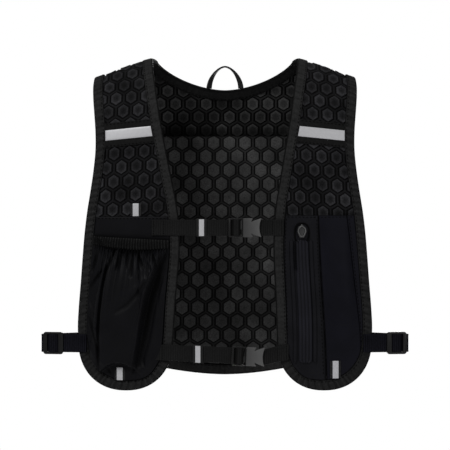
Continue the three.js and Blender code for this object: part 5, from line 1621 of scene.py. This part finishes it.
def sidePath():
    # off the front panel, through the lock, a half turn, and back to the back panel
    z = torso["ridgeHeight"] - lock["drop"]
    edge = crossingOf(frontOutline("bottle")[::-1], levelEdge(z))[0][0]
    seat = layers["mesh"] / 2 + layers["tape"] + 3 * layers["clearance"] + layers["webbing"] / 2

    def front(x):
        return onBody(x, frontLength(x, z), np.array(seat))[:2]

    def back(x):
        return onBody(x, -frontLength(x, z), np.array(seat + 2 * layers["clearance"]))[:2]

    first, second = front(edge - layers["binding"] + lock["past"]), front(edge - layers["binding"] / 2)
    last = front(edge)
    out = unit(last - second)
    off = np.array([out[1], -out[0]])

    def at(along, outwards):
        return last + out * along + off * outwards

    rise = lock["thick"] / 2 + layers["clearance"] + layers["webbing"] / 2
    start = (lock["reach"] - last[0]) / out[0]
    cross = start + lock["inner"] + lock["rise"]
    down = cross + lock["middle"] + lock["run"]
    end = start + lock["length"] + lock["turnReach"]
    angle = np.pi * (0.5 - np.linspace(0, 1, 9))
    radius = lock["turnRadius"]
    turn = [at(end + radius * (np.cos(a) - 1), radius * (np.sin(a) - 1)) for a in angle]
    backEdge = crossingOf(backOutline(), levelEdge(z))[0][0]
    points = [first, second, last, at(start + lock["inner"] + lock["lead"], 0),
              at(cross - lock["lead"], 2 * rise), at(down, 2 * rise), at(down + lock["fall"], 0), *turn,
              back(backEdge + lock["ease"]),
              back(backEdge - layers["binding"] / 2), back(backEdge - layers["binding"] + lock["past"])]
    return np.array(points), z, edge, seat


def makeSideStraps():
    points, z, edge, seat = sidePath()
    path = cornersCut(points, 3)
    for name, side in (("bottle", -1), ("zip", 1)):
        centre = np.stack([side * path[:, 0], path[:, 1], np.full(len(path), z)], -1)
        up = np.tile([0.0, 0, 1], (len(centre), 1))
        solid = ribbon(centre, up, sideWebbing + lock["snug"], layers["webbing"])
        strip = addPiece(f"webbing_side_{name}", solid, sideWeave, "webbing", [f"side_strap_{name}_side"])
        asStrip(lengthOfPath(centre), sideWebbing)
        dressedCopy(f"side_lock_{name}_side", 0.8).data.materials.append(lockPlastic)
        level = z + np.linspace(-tacks["sideHalf"], tacks["sideHalf"], tacks["count"])
        inner = edge - layers["binding"] + lock["past"]
        runs = [tackRow(side * (inner + inset), level, seat + layers["webbing"] / 2) for inset in (2.5, 5.5)]
        addPiece(f"side_tacks_{name}", runs[0].joined(runs[1:]), threadBlack, "webbing", (), 60)


makeSideStraps()
print("side straps ready")


# Hang loop, small tabs, zipper slider
loop = {"half": 20.4, "height": 26.5, "power": 1.75, "tape": 9, "thick": 2.0, "twist": 44}


def makeLoop():
    foot = loop["half"] + loop["thick"]
    line = neckline()
    q = np.interp(foot, line[:, 0], line[:, 1])
    edge = layers["mesh"] / 2 + layers["clearance"] + layers["tape"]
    corners = onBody(np.array([foot, foot]), np.array([q, q]), np.array([-edge, edge]))
    base = corners[:, 2].max() + layers["clearance"]
    y = onBody(np.array(foot), np.array(q), np.array(0.0))[1]
    turn = np.linspace(0, np.pi, 60)
    x = -loop["half"] * signedPower(np.cos(turn), loop["power"])
    z = base - 1.5 + (loop["height"] + 1.5) * signedPower(np.sin(turn), loop["power"])
    angle = np.radians(loop["twist"]) * np.abs(np.cos(turn)) ** 2 * np.sign(np.cos(turn))
    centre = np.stack([x, y + 0 * x, z], -1)
    wide = np.stack([np.sin(angle), np.cos(angle), 0 * x], -1)
    solid = ribbon(centre, wide, loop["tape"], loop["thick"])
    addPiece("tape_hang_loop", solid, bindingKnit, "binding", ["hang_loop"], 60)


tabSizes = {"width": 13.5, "strip": 7.4}
tabPlaces = {
    "bottle_top": (-111, 190.8, seatLift, 16),
    "bottle_bottom": (-130.5, bodyDrop - 21.5, pouchLift + layers["pocket"] + layers["clearance"], 16),
    "zip_bottom": (137.5, bodyDrop - 26.4, seatLift + layers["pocket"] + layers["clearance"], 22),
}


def makeTabs():
    downs, acrosses = edgedShares(8, 0.05), edgedShares(6, 0.06)
    for name, (x, drop, low, length) in tabPlaces.items():
        for width, thick, start, material, slot, node in (
                (tabSizes["width"], layers["tape"], low, bindingKnit, "webbing", f"tab_{name}"),
                (tabSizes["strip"], layers["strip"], low + layers["tape"] + 0.2, silverStrip, "reflective",
                 f"tab_strip_{name}")):
            across = x + width * (acrosses - 0.5)
            level = torso["ridgeHeight"] - drop + length * (0.5 - downs)
            grid = frontPoints(across[None], level[:, None])
            solid = clothPiece(grid, 1, start, thick, 0.0, rimOf(downs, 0.05), rimOf(acrosses, 0.06))
            piece = addPiece("sewn_" + node, solid, material, slot, [node])
            if slot == "webbing":
                panel = "front_panel_bottle_side" if x < 0 else "front_panel_zip_side"
                asStrip(length, width)


pull = {"outline": [(0, 0.5), (0.42, 0.22), (0.5, -0.05), (0.22, -0.5), (-0.22, -0.5), (-0.5, -0.05),
                    (-0.42, 0.22)],
        "width": 12, "length": 17, "rim": 0.78, "bead": 1.0}


def cornersOf(node):
    # lowest and highest corner of a solid, in millimetres
    points = np.empty(len(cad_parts[node].data.vertices) * 3)
    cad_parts[node].data.vertices.foreach_get("co", points)
    return points.reshape(-1, 3).min(0) * 1000, points.reshape(-1, 3).max(0) * 1000


def beadRound(centre, outline, radius):
    # a circle carried round a closed outline that stands upright
    after = np.roll(outline, -1, 0)
    between = [outline[:, None] * (1 - share) + after[:, None] * share for share in (0.1, 0.5, 0.9)]
    fine = np.concatenate(between, 1).reshape(-1, 2)
    ahead = unit(np.roll(fine, -1, 0) - np.roll(fine, 1, 0))
    turn = np.arange(8) * 2 * np.pi / 8
    side = np.stack([ahead[:, 1], 0 * ahead[:, 0], -ahead[:, 0]], -1)
    place = centre + np.stack([fine[:, 0], 0 * fine[:, 0], fine[:, 1]], -1)
    rings = place[:, None] + side[:, None] * (radius * np.cos(turn))[None, :, None]
    rings[..., 1] += radius * np.sin(turn)
    return tubeOf(rings, True)


def makeSlider():
    low, high = cornersOf("zipper_pull")
    centre = (low + high) / 2 + [zipPocket["sliderMoved"], 0, 0]
    centre[1] = low[1] + 0.1
    outline = np.array(pull["outline"]) * [pull["width"] * pull["rim"], pull["length"] * pull["rim"]]
    # the rim bead's lighter plastic is a painted highlight
    addPiece("pull_raised_rim", beadRound(centre, outline, pull["bead"] / 2), pullRim, "plastic", (), 60)
    for node in ("zipper_slider", "zipper_pull"):
        dressedCopy(node, 0.5, zipPocket["sliderMoved"]).data.materials.append(sliderPlastic)


makeLoop()
makeTabs()
makeSlider()
print("small parts ready")


def makeFloor(light):
    # a pale square that glows for the camera only
    half, z = light["floorHalf"], light["floorHeight"]
    data = bpy.data.meshes.new("paleFloor")
    corners = [(-half, -half, z), (half, -half, z), (half, half, z), (-half, half, z)]
    data.from_pydata(corners, [], [(0, 1, 2, 3)])
    floor = bpy.data.objects.new("paleFloor", data)
    bpy.context.scene.collection.objects.link(floor)
    paper = Shader("paleFloor").finish((0.86, 0.86, 0.87, 1), 0.8)
    data.materials.append(paper)
    tree = paper.node_tree
    seen = tree.nodes.new("ShaderNodeLightPath")
    body = next(node for node in tree.nodes if node.type == "BSDF_PRINCIPLED")
    body.inputs["Emission Strength"].default_value = light["floorGlow"]
    tree.links.new(seen.outputs["Is Camera Ray"], body.inputs["Emission Color"])


makeFloor(studio)
print("pieces ready")
